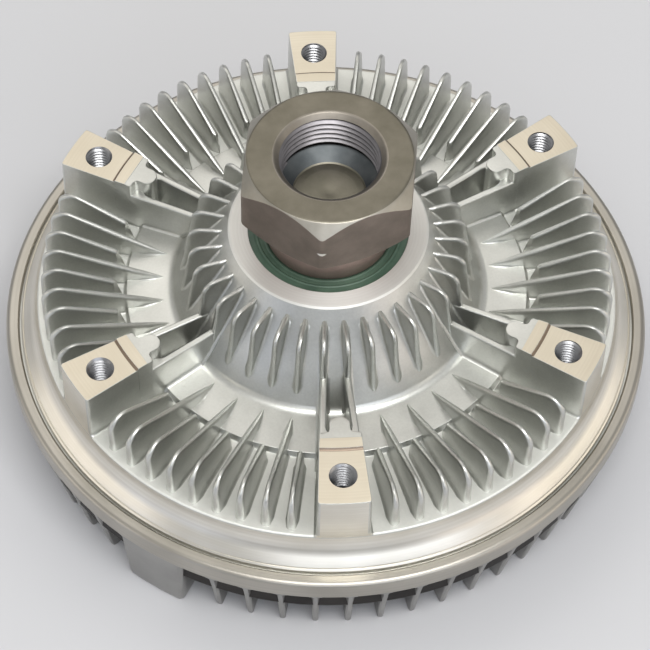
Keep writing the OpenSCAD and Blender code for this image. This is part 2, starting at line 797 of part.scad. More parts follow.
module valve_shaft() {
    groove_r = valve_r + run_gap - o_ring_d - 2 * fit_gap;
    half = o_ring_d / 2 + 0.35;
    clip_bottom = clip_top - clip_t;
    color("#9a9da1")
    difference() {
        turned([[0, coil_z], [valve_r - 0.4, coil_z], [valve_r, coil_z + 0.4],
                [valve_r, clip_bottom - fit_gap], [valve_r - clip_groove, clip_bottom - fit_gap],
                [valve_r - clip_groove, clip_top + fit_gap], [valve_r, clip_top + fit_gap],
                [valve_r, o_ring_z - half], [groove_r, o_ring_z - half],
                [groove_r, o_ring_z + half], [valve_r, o_ring_z + half],
                [valve_r, collar_z], [collar_r, collar_z], [collar_r, arm_z],
                [spigot_r, arm_z], [spigot_r, arm_top + spigot_up], [0, arm_top + spigot_up]]);
        translate([-valve_r - 1, -slot_w / 2, coil_z - 1])
            cube([2 * valve_r + 2, slot_w, strip_w + 1.1]);
    }
}

module valve_shaft_seal() {
    mid_r = valve_r + run_gap - fit_gap - o_ring_d / 2;
    color("#2b2b2b")
    rotate_extrude()
        translate([mid_r, o_ring_z])
            circle(d = o_ring_d, $fn = 32);
}

module valve_shaft_clip() {
    mouth_w = 2 * (valve_r - clip_groove) - 0.8;
    color("#55585d")
    difference() {
        pin(clip_r, clip_top - clip_t, clip_top);
        pin(valve_r - clip_groove + fit_gap, clip_top - clip_t - 1, clip_top + 1);
        translate([0, -mouth_w / 2, clip_top - clip_t - 1])
            cube([clip_r + 1, mouth_w, clip_t + 2]);
    }
}

module bimetal_coil() {
    steps = 36;
    last = coil_turns * steps;
    pitch = (coil_out_r - strip_t / 2 - coil_in_r) / last;
    function edge(i, side) =
        (coil_in_r + pitch * i + side * strip_t / 2) * [cos(i * 360 / steps), sin(i * 360 / steps)];
    color("#a58d63")
    translate([0, 0, coil_z])
        linear_extrude(height = strip_w) {
            polygon(concat([for (i = [0 : last]) edge(i, 1)],
                           [for (i = [last : -1 : 0]) edge(i, -1)]));
            translate([-valve_r, -strip_t / 2])
                square([valve_r + coil_in_r + strip_t / 2, strip_t]);
            translate([-tab_out_r, -strip_t / 2])
                square([tab_out_r - coil_out_r + strip_t, strip_t]);
        }
}

module coil_anchor() {
    mid_r = anchor_in_r + anchor_l / 2;
    color("#9fa2a6")
    difference() {
        union() {
            rotate([0, 0, 180])
                translate([anchor_in_r, -anchor_w / 2, coil_z])
                    cube([anchor_l, anchor_w, z_recess - coil_z]);
            rotate([0, 0, 180])
                rotate_extrude(angle = anchor_turn)
                    translate([anchor_in_r, z_recess - anchor_t])
                        square([anchor_l, anchor_t]);
            rotate([0, 0, 180 + anchor_turn])
                translate([mid_r, 0, 0])
                    pin(anchor_screw_head_d / 2 + 0.8, z_recess - anchor_t, z_recess);
        }
        translate([-tab_out_r - 0.2, -slot_w / 2, coil_z - 1])
            cube([tab_out_r - anchor_in_r + 2, slot_w, strip_w + 1.2]);
        rotate([0, 0, 180 + anchor_turn])
            translate([mid_r, 0, 0])
                pin(anchor_screw_d / 2 + fit_gap, z_recess - anchor_t - 1, z_recess + 1);
    }
}

module coil_anchor_screw() {
    head_top = z_recess - anchor_t;
    color("#8e9196")
    rotate([0, 0, 180 + anchor_turn])
        translate([anchor_in_r + anchor_l / 2, 0, 0])
            difference() {
                union() {
                    pin(anchor_screw_d / 2, head_top - 1, head_top + anchor_screw_l);
                    pin(anchor_screw_head_d / 2, head_top - anchor_screw_head_h, head_top);
                }
                pin(2, head_top - anchor_screw_head_h - 1, head_top - anchor_screw_head_h + 1.2, $fn = 6);
            }
}

module return_wipers() {
    mid_r = (wiper_in_r + rotor_r) / 2;
    color("#5c5f63")
    around([lug_at + wiper_turn, lug_at + 180 + wiper_turn]) {
        translate([wiper_in_r, -wiper_w / 2, z_work])
            cube([rotor_r - wiper_in_r, wiper_w, wiper_h]);
        translate([mid_r, 0, 0])
            pin(wiper_pin_d / 2, z_work - wiper_pin_l, z_work + 1);
    }
}

rear_housing();
front_cover();
rim_seal();
input_shaft();
bearing_outer_ring();
bearing_inner_ring();
bearing_balls();
bearing_cage_rear();
bearing_cage_front();
bearing_seal_rear();
bearing_seal_front();
clutch_rotor();
rotor_retaining_ring();
valve_plate();
valve_plate_screws();
valve_arm();
valve_shaft();
valve_shaft_seal();
valve_shaft_clip();
bimetal_coil();
coil_anchor();
coil_anchor_screw();
return_wipers();
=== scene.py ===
import math
import bmesh
import bpy
import numpy as np
from mathutils import Matrix, Quaternion, Vector


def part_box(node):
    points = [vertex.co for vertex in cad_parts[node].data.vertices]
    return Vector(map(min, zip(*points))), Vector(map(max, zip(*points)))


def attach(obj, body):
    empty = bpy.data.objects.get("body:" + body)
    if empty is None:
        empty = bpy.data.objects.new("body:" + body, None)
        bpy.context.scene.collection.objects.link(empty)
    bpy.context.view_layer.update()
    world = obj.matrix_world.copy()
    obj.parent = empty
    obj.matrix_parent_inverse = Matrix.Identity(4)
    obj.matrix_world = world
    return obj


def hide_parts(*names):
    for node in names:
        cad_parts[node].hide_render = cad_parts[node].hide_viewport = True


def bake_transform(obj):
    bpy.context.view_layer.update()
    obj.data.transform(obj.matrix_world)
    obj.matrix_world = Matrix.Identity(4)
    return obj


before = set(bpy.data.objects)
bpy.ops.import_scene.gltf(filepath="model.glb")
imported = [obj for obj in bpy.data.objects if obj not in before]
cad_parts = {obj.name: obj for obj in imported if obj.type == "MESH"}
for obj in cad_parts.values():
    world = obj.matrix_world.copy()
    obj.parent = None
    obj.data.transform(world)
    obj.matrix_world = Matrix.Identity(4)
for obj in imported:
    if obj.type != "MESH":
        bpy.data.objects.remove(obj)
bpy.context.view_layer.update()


# Rear housing, the round body. One aluminium die casting with its fins, pads and bearing hub,
# turned after casting on the hub face and on the cone at its edge. All sizes below are in mm.
MM = 0.001
housing_low, housing_high = (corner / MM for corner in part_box("rear_housing"))
joint_z, hub_z, flange_r = housing_low.z, housing_high.z, housing_high.x
floor_z = joint_z + 14.7
pad_z = floor_z + 17.8
web_z = joint_z + 10.5
floor_r, hub_r, hub_edge = 86.1, 29.1, 0.5
foot_r, foot_z = 46.25, floor_z + 2.7
ledge_r, ledge_z = 59.6, floor_z + 1.7
step_r = ledge_r + 0.8
lip_r, lip_z, lip_foot_z = flange_r - 1.0, joint_z + 3.1, joint_z + 2.1
seam_r, seam_z = lip_r - 0.7, joint_z + 4.9
seal_groove_r, seal_groove_w, seal_groove_z = flange_r - 2.45, 2.0, joint_z + 1.7
chamber_r, chamber_bevel = 86.5, 3
bearing_r, bearing_top, bearing_w = 26.02, hub_z - 0.7, 20.4
bearing_bottom = bearing_top - bearing_w
hub_lip_r = bearing_r - 2.62
stop_r, stop_z = bearing_r - 3.22, bearing_bottom - 2.1
boss_foot_r, boss_end_r = bearing_r + 11.78, bearing_r - 1.52
land_r, land_pitch, land_w, land_count = foot_r, 5.2, 2.0, 6
land_tip_z = joint_z + 2.4
round_steps = 240


def rounded(corners, steps=None):
    """Points of an outline of (x, y, radius) corners, each rounded by an arc, finer on a larger radius."""
    nearly_straight = 1.55
    points = []
    count = len(corners)
    for i, (x, y, radius) in enumerate(corners):
        here = np.array((x, y))
        before = np.array(corners[i - 1][:2]) - here
        after = np.array(corners[(i + 1) % count][:2]) - here
        reach_before, reach_after = np.linalg.norm(before), np.linalg.norm(after)
        before, after = before / reach_before, after / reach_after
        half = math.acos(np.clip(before @ after, -1, 1)) / 2
        if radius <= 0 or half > nearly_straight:
            points.append(here)
            continue
        arc_steps = steps or min(2 + round(2 * radius), 12)
        radius = min(radius, 0.49 * min(reach_before, reach_after) * math.tan(half))
        bisector = (before + after) / np.linalg.norm(before + after)
        centre = here + bisector * radius / math.sin(half)
        start = here + before * radius / math.tan(half) - centre
        end = here + after * radius / math.tan(half) - centre
        sweep = math.atan2(start[0] * end[1] - start[1] * end[0], start @ end)
        for turn in np.linspace(0, sweep, arc_steps + 1):
            c, s = math.cos(turn), math.sin(turn)
            points.append(centre + (start[0] * c - start[1] * s, start[0] * s + start[1] * c))
    return np.array(points)


def new_mesh(name, points, faces, finishes=None):
    """Mesh from points in mm, with doubles merged and faces outwards. finishes gives the number of each
    face's finish, 0 as cast or forged."""
    mesh = bpy.data.meshes.new(name)
    mesh.from_pydata((np.asarray(points) * MM).tolist(), [], faces)
    marks = finishes or [0] * len(faces)
    mesh.attributes.new("finish", "INT", "FACE").data.foreach_set("value", marks)
    shell = bmesh.new()
    shell.from_mesh(mesh)
    bmesh.ops.remove_doubles(shell, verts=shell.verts, dist=1e-7)
    bmesh.ops.recalc_face_normals(shell, faces=shell.faces)
    shell.to_mesh(mesh)
    shell.free()
    return mesh


def turned(profile_at, steps, finishes, closed=True):
    """Points, faces and finishes of a profile of (radius, height) points, given for each angle, carried
    round the axis. finishes numbers the profile's stretches; one that is None stays open."""
    angles = np.arange(steps) * 2 * math.pi / steps
    rings = [np.asarray(profile_at(a)) for a in angles]
    count = len(rings[0])
    points = [(r * math.cos(a), r * math.sin(a), z) for a, ring in zip(angles, rings) for r, z in ring]
    stretches = [i for i in range(count if closed else count - 1) if finishes[i] is not None]
    faces, marks = [], []
    for j in range(steps):
        here, there = j * count, (j + 1) % steps * count
        for i in stretches:
            k = (i + 1) % count
            faces.append((here + i, there + i, there + k, here + k))
            marks.append(finishes[i])
    return points, faces, marks


def lathe(name, profile, finish_at):
    """Mesh of a closed profile turned round the axis, with the finish at the middle of each stretch."""
    middles = (profile + np.roll(profile, -1, axis=0)) / 2
    return new_mesh(name, *turned(lambda angle: profile, round_steps, [finish_at(*m) for m in middles]))


lands = [(land_r + i * land_pitch + across, z, 0) for i in reversed(range(land_count))
         for across, z in ((land_w, web_z), (land_w, land_tip_z), (0, land_tip_z), (0, web_z))]
hollow_start = np.array((floor_r + 0.13, floor_z - 1.3))
hollow_corner = np.array((floor_r + 0.5, floor_z - 4.7))
hollow_end = hollow_corner + (2.4, -2.4)
hollow = [(*((1 - t) ** 2 * hollow_start + 2 * t * (1 - t) * hollow_corner + t ** 2 * hollow_end), 0)
          for t in np.linspace(0, 1, 10)]
rim_groove = [(seam_r - across, seam_z + up, 0)
              for across, up in ((0.85, 0.85), (0.75, 0.48), (0.6, 0.33), (0.47, 0.47))]
body_corners = [
    (hub_lip_r, hub_z, 0.2), (hub_r - hub_edge, hub_z, 0.15), (hub_r, hub_z - hub_edge, 0.25),
    (foot_r, foot_z, 3.8), (ledge_r, ledge_z, 0.3), (step_r + 0.1, floor_z, 0.4),
    (floor_r, floor_z, 0.8), *hollow, *rim_groove, (seam_r, seam_z, 0.3), (seam_r, lip_z, 0),
    (lip_r, lip_z, 0), (flange_r, lip_foot_z, 0), (flange_r, joint_z, 0),
    (seal_groove_r, joint_z, 0), (seal_groove_r, seal_groove_z, 0.3),
    (seal_groove_r - seal_groove_w, seal_groove_z, 0.3), (seal_groove_r - seal_groove_w, joint_z, 0),
    (chamber_r, joint_z, 0), (chamber_r, web_z - chamber_bevel, 0.5), (chamber_r - chamber_bevel, web_z, 0.5),
    *lands, (boss_foot_r, web_z, 1.5), (boss_end_r, stop_z, 0.5), (stop_r, stop_z, 0),
    (stop_r, bearing_bottom, 0), (bearing_r, bearing_bottom, 0), (bearing_r, bearing_top, 0),
    (hub_lip_r, bearing_top, 0)]


def body_finish(radius, height):
    """Finish of the body: 3 on the floor, 2 on the hub face, 1 on the hollow and the cone of its edge."""
    if height > hub_z - 0.8:
        return 2
    if step_r < radius < floor_r and abs(height - floor_z) < 0.4:
        return 3
    return int(radius > floor_r + 0.05 and lip_z < height < floor_z - 0.25)


housing_body = lathe("housing_body", rounded(body_corners), body_finish)


# Cast aluminium of the housing and the cover. Die-cast and blasted, so it is a bright satin grey
# with a fine grain, faint clouds from the flow of the metal, and no tool marks.
def linear(colour):
    """Linear RGBA of an sRGB hex colour."""
    parts = [int(colour[i:i + 2], 16) / 255 for i in (1, 3, 5)]
    return (*(c / 12.92 if c <= 0.04045 else ((c + 0.055) / 1.055) ** 2.4 for c in parts), 1.0)


def add_node(tree, kind, inputs=None, **settings):
    """Adds a node with its settings; an input takes a value or the socket that feeds it."""
    node = tree.nodes.new(kind)
    for name, value in settings.items():
        setattr(node, name, value)
    for name, value in (inputs or {}).items():
        if isinstance(value, bpy.types.NodeSocket):
            tree.links.new(value, node.inputs[name])
        else:
            node.inputs[name].default_value = value
    return node


def maths(tree, operation, a, b=0.0):
    """Result of a sum with one or two numbers."""
    return add_node(tree, "ShaderNodeMath", {0: a, 1: b}, operation=operation).outputs["Value"]


def vector_maths(tree, operation, a, b=(0.0, 0.0, 0.0), output="Vector"):
    """Result of a sum with one or two vectors."""
    return add_node(tree, "ShaderNodeVectorMath", {0: a, 1: b}, operation=operation).outputs[output]


def per_mm(size):
    """Texture scale, in repeats to the metre, of a pattern whose features are size mm apart."""
    return 1 / (size * MM)


def new_material(name, metallic, roughness):
    """Material with its shader, and the Object coordinates that its patterns read."""
    material = bpy.data.materials.new(name)
    material.use_nodes = True
    tree = material.node_tree
    shader = tree.nodes["Principled BSDF"]
    shader.inputs["Metallic"].default_value = metallic
    shader.inputs["Roughness"].default_value = roughness
    return material, tree, shader, add_node(tree, "ShaderNodeTexCoord").outputs["Object"]


def noise(tree, place, size, detail, roughness=0.5):
    """Cloudy pattern whose features are size mm apart."""
    inputs = {"Vector": place, "Scale": per_mm(size), "Detail": detail, "Roughness": roughness}
    return add_node(tree, "ShaderNodeTexNoise", inputs).outputs["Fac"]


def two_tone(tree, pattern, low, high, dark, light):
    """Colour that goes from dark to light as a pattern goes from low to high."""
    ramp = add_node(tree, "ShaderNodeValToRGB", {"Fac": pattern})
    for element, position, colour in zip(ramp.color_ramp.elements, (low, high), (dark, light)):
        element.position = position
        element.color = linear(colour)
    return ramp.outputs["Color"]


def add_relief(tree, shader, pattern, strength, depth):
    """Fine relief from a pattern, depth mm deep."""
    bump = add_node(tree, "ShaderNodeBump", {"Height": pattern, "Strength": strength, "Distance": depth * MM})
    tree.links.new(bump.outputs["Normal"], shader.inputs["Normal"])


def vary_roughness(tree, shader, pattern, roughness, spread):
    """Roughness that follows a pattern to both sides of a middle value."""
    limits = {"Value": pattern, "To Min": roughness - spread, "To Max": roughness + spread}
    tree.links.new(add_node(tree, "ShaderNodeMapRange", limits).outputs["Result"], shader.inputs["Roughness"])


def cast_aluminium(name, dark, light, roughness):
    material, tree, shader, place = new_material(name, 1.0, roughness)
    clouds = noise(tree, place, 14, 4.0)
    grain = noise(tree, place, 0.7, 2.0)
    mottle = add_node(tree, "ShaderNodeMix", {"Factor": 0.28, "A": clouds, "B": grain}).outputs["Result"]
    tree.links.new(two_tone(tree, mottle, 0.32, 0.68, dark, light), shader.inputs["Base Color"])
    vary_roughness(tree, shader, grain, roughness, 0.07)
    add_relief(tree, shader, grain, 0.4, 0.05)
    return material


def axis_distance(tree, place):
    """Distance of each point from the part's axis."""
    level = vector_maths(tree, "MULTIPLY", place, (1.0, 1.0, 0.0))
    return vector_maths(tree, "LENGTH", level, output="Value")


# Turned aluminium of the hub face, the pads and the rim cone. The tool leaves fine rings round the
# axis, drawn 0.9 mm apart because the real 0.2 mm feed is too fine to show, and a warm, bright cut.
def turned_aluminium(name, dark, light, roughness, streak=0.6):
    material, tree, shader, place = new_material(name, 1.0, roughness)
    shader.inputs["Anisotropic"].default_value = streak
    shader.inputs["Anisotropic Rotation"].default_value = 0.25
    tangent = add_node(tree, "ShaderNodeTangent", direction_type="RADIAL", axis="Z")
    tree.links.new(tangent.outputs["Tangent"], shader.inputs["Tangent"])
    height = add_node(tree, "ShaderNodeSeparateXYZ", {"Vector": place}).outputs["Z"]
    along = maths(tree, "SUBTRACT", axis_distance(tree, place), height)
    feed = add_node(tree, "ShaderNodeCombineXYZ", {"X": along}).outputs["Vector"]
    rings = noise(tree, feed, 0.9, 3.0)
    clouds = noise(tree, place, 18, 2.0)
    mixed = maths(tree, "MULTIPLY", rings, clouds)
    tree.links.new(two_tone(tree, mixed, 0.12, 0.4, dark, light), shader.inputs["Base Color"])
    vary_roughness(tree, shader, rings, roughness, streak * 0.12)
    add_relief(tree, shader, rings, streak * 0.3, 0.03)
    return material


# The floor between the fins is rougher than the rest, and its lighter colour is painted light that lifts the
# shade the fins cast on it.
# The pads are cut warm and bright, the rim cone smoother and whiter, and the hub face whitest, with deep
# rings.
housing_cast = cast_aluminium("die_cast_aluminium_blasted", "#c3c4c0", "#d9dad6", 0.37)
# Painted light: the floor's near white colour lifts the shade between the fins.
housing_floor_painted_light = cast_aluminium("die_cast_aluminium_rough_painted_light", "#e6e7e3", "#f2f3ef", 0.6)
housing_turned = turned_aluminium("die_cast_aluminium_turned", "#d6cdbb", "#e1d9c8", 0.45, 0.4)
rim_turned = turned_aluminium("die_cast_aluminium_turned_rim", "#dcd8ce", "#ebe8e0", 0.33, 0.25)
hub_turned = turned_aluminium("die_cast_aluminium_turned_hub", "#e9e8e4", "#f5f5f2", 0.6, 0.6)


def with_finishes(mesh, *surfaces):
    """Object of a mesh whose faces take their surface by the number of their finish."""
    piece = bpy.data.objects.new(mesh.name, mesh)
    bpy.context.scene.collection.objects.link(piece)
    for surface in surfaces:
        mesh.materials.append(surface)
    mesh.polygons.foreach_set("material_index", [mark.value for mark in mesh.attributes["finish"].data])
    return piece


housing_parts = [with_finishes(housing_body, housing_cast, rim_turned, hub_turned, housing_floor_painted_light)]


# Fins of the housing. Cast with the body, 2.4 mm thick at the floor and 1.3 mm at the crest, with
# soft edges and a fillet at the root: short and long ones between the pads, stub fins on the hub.
fin_out_r, fin_crest_z, fin_fall = 84.5, floor_z + 13.9, math.radians(22.8)
fin_corner_r = 5.0
fin_root_t, fin_tip_t, fin_swell, fin_swell_l = 2.4, 1.3, 0.25, 8
fin_edge_r, fin_root_r = 1.2, 0.8
pad_angles, pad_step = -90.0, 60.0
floor_line = ((hub_r, hub_z - hub_edge), (foot_r, foot_z), (ledge_r, ledge_z), (step_r, floor_z),
              (floor_r, floor_z))


def floor_at(radius):
    """Height of the body's upper surface at a radius."""
    return np.interp(radius, [r for r, z in floor_line], [z for r, z in floor_line])


def fin_line(radius):
    """Height of the sloping fin top at a radius."""
    tangent_r = fin_out_r - fin_corner_r * (1 + math.sin(fin_fall))
    tangent_z = fin_crest_z - fin_corner_r * (1 - math.cos(fin_fall))
    return tangent_z - (tangent_r - radius) * math.tan(fin_fall)


def distance_to(line, points):
    """Distance of each point to a line of straight stretches."""
    line = np.asarray(line, float)
    best = np.full(len(points), 1e9)
    for a, b in zip(line[:-1], line[1:]):
        along = np.clip(((points - a) @ (b - a)) / max((b - a) @ (b - a), 1e-12), 0, 1)
        best = np.minimum(best, np.linalg.norm(points - a - along[:, None] * (b - a), axis=1))
    return best


def block_faces(columns, rows, layers=1):
    """Faces of a block of stacked sheets of points: its first sheet, its last one and the rim between."""
    sheet = columns * rows
    faces = []
    for k in range(columns - 1):
        for m in range(rows - 1):
            quad = [k * rows + m, k * rows + m + 1, (k + 1) * rows + m + 1, (k + 1) * rows + m]
            faces.append(tuple(quad))
            faces.append(tuple(i + layers * sheet for i in reversed(quad)))
    rim = ([m for m in reversed(range(rows))] + [k * rows for k in range(1, columns)]
           + [(columns - 1) * rows + m for m in range(1, rows)]
           + [k * rows + rows - 1 for k in reversed(range(1, columns - 1))])
    for a, b in zip(rim, rim[1:] + rim[:1]):
        for layer in range(0, layers * sheet, sheet):
            faces.append((a + layer, b + layer, b + layer + sheet, a + layer + sheet))
    return faces


def plate(name, tops, feet, free_edge, half_at, edge_r, root_r, place,
          sunk=0.8, strip_steps=1, root_fade=0.0):
    """Cast plate between a free edge and the surface that it stands on. tops and feet are the ends of its
    columns in (radius, height), half_at its half thickness, and place puts (radius, side, height) points.
    The root fillet dies out over root_fade at the plate's two ends."""
    past_edge, past_root, shoulder = 1.08, 0.06, 0.02
    tops, feet = np.asarray(tops, float), np.asarray(feet, float)
    edge_steps = edge_r * (1 - np.cos(np.radians((0, 28, 58, 90)))) * past_edge
    root_angles = np.radians((0, 28, 56, 78))
    grid, above = [], []
    for top, foot in zip(tops, feet):
        reach = np.linalg.norm(top - foot)
        down = (foot - top) / reach
        fit = min(1.0, reach / (edge_r + root_r + 0.3))
        near_edge = edge_steps * fit
        near_root = reach - root_r * fit * (1 - np.sin(root_angles))
        middle = np.linspace(near_edge[-1], near_root[0], 4)[1:-1]
        steps = np.concatenate((near_edge, middle, near_root, (reach + past_root * fit, reach + sunk)))
        grid.append(top + steps[:, None] * down)
        above.append(np.clip((reach - steps) / max(root_r * fit, 1e-6), -past_root, 1))
    grid, above = np.array(grid), np.array(above)
    columns, rows = above.shape
    flat, above = grid.reshape(-1, 2), above.ravel()
    full = half_at(flat[:, 0], flat[:, 1])
    nose_r = np.minimum(edge_r, 0.94 * full)
    inside = np.clip(distance_to(free_edge, flat), 0, nose_r)
    edge = nose_r - np.sqrt(nose_r ** 2 - (nose_r - inside) ** 2)
    flare = 1 - np.sqrt(1 - (1 - np.clip(above, shoulder, 1)) ** 2) + np.where(above < shoulder, 0.12, 0)
    reach_root = np.minimum(root_r, 0.6 * np.repeat(np.linalg.norm(tops - feet, axis=1), rows))
    if root_fade:
        to_ends = np.minimum(*(distance_to([tops[end], feet[end]], flat) for end in (0, -1)))
        flare = flare * np.clip(to_ends / root_fade, 0, 1) ** 2
    half = full - edge + flare * reach_root
    sides = np.linspace(1, -1, strip_steps + 1)
    points = np.concatenate([place(flat[:, 0], side * half, flat[:, 1]) for side in sides])
    faces = block_faces(columns, rows, strip_steps)
    used = sorted({i for face in faces for i in face})
    renumber = {old: new for new, old in enumerate(used)}
    return new_mesh(name, points[used], [tuple(renumber[i] for i in face) for face in faces])


def upright(radius, side, height):
    """Points of a radial plate on the +X side."""
    return np.stack((radius, side, height), axis=1)


def fin_half(radius, height):
    """Half thickness of a fin, drafted towards its crest and swelling a little to its outer end."""
    share = (height - floor_z) / (fin_crest_z - floor_z)
    swell = fin_swell * np.clip((radius - fin_out_r) / fin_swell_l + 1, 0, 1) ** 2
    return (fin_root_t + (fin_tip_t - fin_root_t) * share) / 2 + swell


def arc_points(right, top, radius, degrees):
    """Points of an arc that touches an upright line at right and a level line at top."""
    return [(right + radius * (math.cos(a) - 1), top + radius * (math.sin(a) - 1))
            for a in np.radians(degrees)]


def outer_fin(name, inner_foot_r, inner_top, half_at):
    """Outer fin whose top slopes up from inner_top and rounds over to its outer end."""
    arc = arc_points(fin_out_r, fin_crest_z, fin_corner_r, (112.8, 100, 86, 72, 58, 45, 34, 26, 17, 9, 0))
    slope = [(inner_top[0] + (arc[0][0] - inner_top[0]) * s, inner_top[1] + (arc[0][1] - inner_top[1]) * s)
             for s in (0, 0.03, 0.08, 0.2, 0.4, 0.6, 0.8)]
    tops = slope + arc
    feet_r = [inner_foot_r if i == 0 else max(inner_foot_r, r) for i, (r, z) in enumerate(tops)]
    feet = [(r, floor_at(r)) for r in feet_r]
    free = [feet[0]] + tops + [feet[-1]]
    return plate(name, tops, feet, free, half_at, fin_edge_r, fin_root_r, upright, root_fade=3.0)


long_fin_r, long_fin_point_l, long_fin_point = foot_r + 2.6, 9, 0.16
short_fin_top_r = step_r + 2.2


def long_fin_half(radius, height):
    """Half thickness of a long fin, which runs out to a point on the ledge."""
    return fin_half(radius, height) * np.clip(long_fin_point + (radius - long_fin_r) / long_fin_point_l, 0, 1)


short_fin = outer_fin("short_fin", step_r + 0.3, (short_fin_top_r, fin_line(short_fin_top_r)), fin_half)
long_fin = outer_fin("long_fin", long_fin_r, (long_fin_r, floor_at(long_fin_r) + 0.15), long_fin_half)
hub_fin_top, hub_fin_out_r, hub_fin_corner_r = hub_z - 3.4, 41.0, 4.0
hub_fin_knee_z = hub_fin_top - hub_fin_corner_r
hub_fin_low_r, hub_fin_low_z = 43.7, foot_z + 4.2


def cone_r(height):
    """Radius of the hub cone at a height."""
    return np.interp(height, (foot_z, hub_z - hub_edge), (foot_r, hub_r))


def hub_fin_half(radius, height):
    """Half thickness of a hub fin, drafted towards its top."""
    return np.interp(height, (hub_fin_low_z, hub_fin_knee_z, hub_fin_top), (1.0, 0.85, 0.72))


hub_fin_edge = ([(cone_r(hub_fin_top) + s, hub_fin_top) for s in (0, 1.2, 2.6, 4.2)]
                + arc_points(hub_fin_out_r, hub_fin_top, hub_fin_corner_r, np.linspace(90, 0, 9))
                + [(hub_fin_out_r + (hub_fin_low_r - hub_fin_out_r) * s ** 1.15,
                    hub_fin_knee_z + (hub_fin_low_z - hub_fin_knee_z) * s)
                   for s in (0.2, 0.4, 0.6, 0.75, 0.9, 1)])
foot_share = np.linspace(0, 1, len(hub_fin_edge)) ** 0.85
hub_fin_feet = [(cone_r(z), z) for z in hub_fin_top + (hub_fin_low_z - hub_fin_top) * foot_share]
hub_fin_feet[0] = (cone_r(hub_fin_top) - 0.4, hub_fin_top - 0.3)
hub_fin = plate("hub_fin", hub_fin_edge, hub_fin_feet, hub_fin_edge, hub_fin_half,
                fin_edge_r, fin_root_r, upright)


# Pattern of copies round the axis, as the die has it. The tree takes one master piece with its
# surfaces and gives back groups of turned copies.
def round_pattern():
    tree = bpy.data.node_groups.new("copies_round_the_axis", "GeometryNodeTree")
    tree.interface.new_socket("Master", in_out="INPUT", socket_type="NodeSocketGeometry")
    for name, kind in (("First angle", "Float"), ("Step", "Float"), ("Copies", "Int"),
                       ("Group step", "Float"), ("Groups", "Int")):
        tree.interface.new_socket(name, in_out="INPUT", socket_type="NodeSocket" + kind)
    tree.interface.new_socket("Copies", in_out="OUTPUT", socket_type="NodeSocketGeometry")
    given = tree.nodes.new("NodeGroupInput").outputs
    index = add_node(tree, "GeometryNodeInputIndex").outputs["Index"]
    within = maths(tree, "MULTIPLY", maths(tree, "MODULO", index, given["Copies"]), given["Step"])
    group = maths(tree, "FLOOR", maths(tree, "DIVIDE", index, given["Copies"]))
    first = maths(tree, "ADD", given["First angle"], within)
    degrees = maths(tree, "ADD", first, maths(tree, "MULTIPLY", group, given["Group step"]))
    turn = add_node(tree, "ShaderNodeCombineXYZ", {"Z": maths(tree, "RADIANS", degrees)})
    total = maths(tree, "MULTIPLY", given["Copies"], given["Groups"])
    points = add_node(tree, "GeometryNodePoints", {"Count": total})
    copies = add_node(tree, "GeometryNodeInstanceOnPoints",
                      {"Points": points.outputs["Points"], "Instance": given["Master"],
                       "Rotation": turn.outputs["Vector"]})
    real = add_node(tree, "GeometryNodeRealizeInstances", {"Geometry": copies.outputs["Instances"]})
    add_node(tree, "NodeGroupOutput", {"Copies": real.outputs["Geometry"]})
    return tree


pattern_tree = round_pattern()


def without_modifier(piece, modifier):
    """The piece with the result of its one modifier as a plain mesh."""
    graph = bpy.context.evaluated_depsgraph_get()
    made = bpy.data.meshes.new_from_object(piece.evaluated_get(graph), depsgraph=graph)
    piece.modifiers.remove(modifier)
    piece.data = made
    return piece


def copies(mesh, first, step, count, *surfaces, group_step=0.0, groups=1):
    """Object with a master mesh copied round the axis, as a plain mesh."""
    maker = with_finishes(mesh, *surfaces)
    modifier = maker.modifiers.new("pattern", "NODES")
    modifier.node_group = pattern_tree
    wanted = {"First angle": float(first), "Step": float(step), "Copies": count,
              "Group step": float(group_step), "Groups": groups}
    for item in pattern_tree.interface.items_tree:
        if item.in_out == "INPUT" and item.name in wanted:
            modifier[item.identifier] = wanted[item.name]
    return without_modifier(maker, modifier)


def join_pieces(name, parts, sharp_angle=32):
    """One object from several, smooth but for its sharp edges, with flat faces kept flat."""
    with bpy.context.temp_override(active_object=parts[0], object=parts[0], selected_objects=parts,
                                   selected_editable_objects=parts):
        bpy.ops.object.join()
    piece = parts[0]
    piece.name = name
    piece.data.name = name
    piece.data.shade_smooth()
    piece.data.set_sharp_from_angle(angle=math.radians(sharp_angle))
    weigh = piece.modifiers.new("flat_faces", "WEIGHTED_NORMAL")
    weigh.keep_sharp = True
    return without_modifier(piece, weigh)


fin_step, pad_count = 5.0, 6
first_fin = pad_angles + 2 * fin_step
between_pads = {"group_step": pad_step, "groups": pad_count}
housing_parts += [
    copies(short_fin, first_fin, 2 * fin_step, 5, housing_cast, **between_pads),
    copies(long_fin, first_fin + fin_step, 2 * fin_step, 4, housing_cast, **between_pads),
    copies(hub_fin, pad_angles + fin_step, 2 * fin_step, 36, housing_cast)]


# Fan pads. Six cast posts on the floor, faced flat with a low pilot step that centres the fan, each
# with a tapped M8 hole. A cast tongue and two thin walls join each pad to the hub.
bolt_r = 77.0
pad_out_half, pad_taper, pad_corner_r = 7.5, 0.07, floor_r - 0.33
pilot_r, pilot_in_r, pad_in_r, pilot_z = 68.4, 64.8, 62.9, pad_z + 0.6
tongue_half, nose_r = 2.9, 60.6
bolt_major_r, bolt_pitch, bolt_depth, bolt_thread_l, bolt_cone_h = 4.0, 1.25, 15.0, 11.5, 1.5
thread_depth = 0.54
hole_steps = 40
pad_root_r, pad_draft, pad_edge_r, tongue_edge_r = 0.8, math.radians(0.8), 0.18, 0.3


def pad_half(radius):
    """Half width of a pad and its trough at a radius."""
    return pad_out_half - pad_taper * (floor_r - radius)


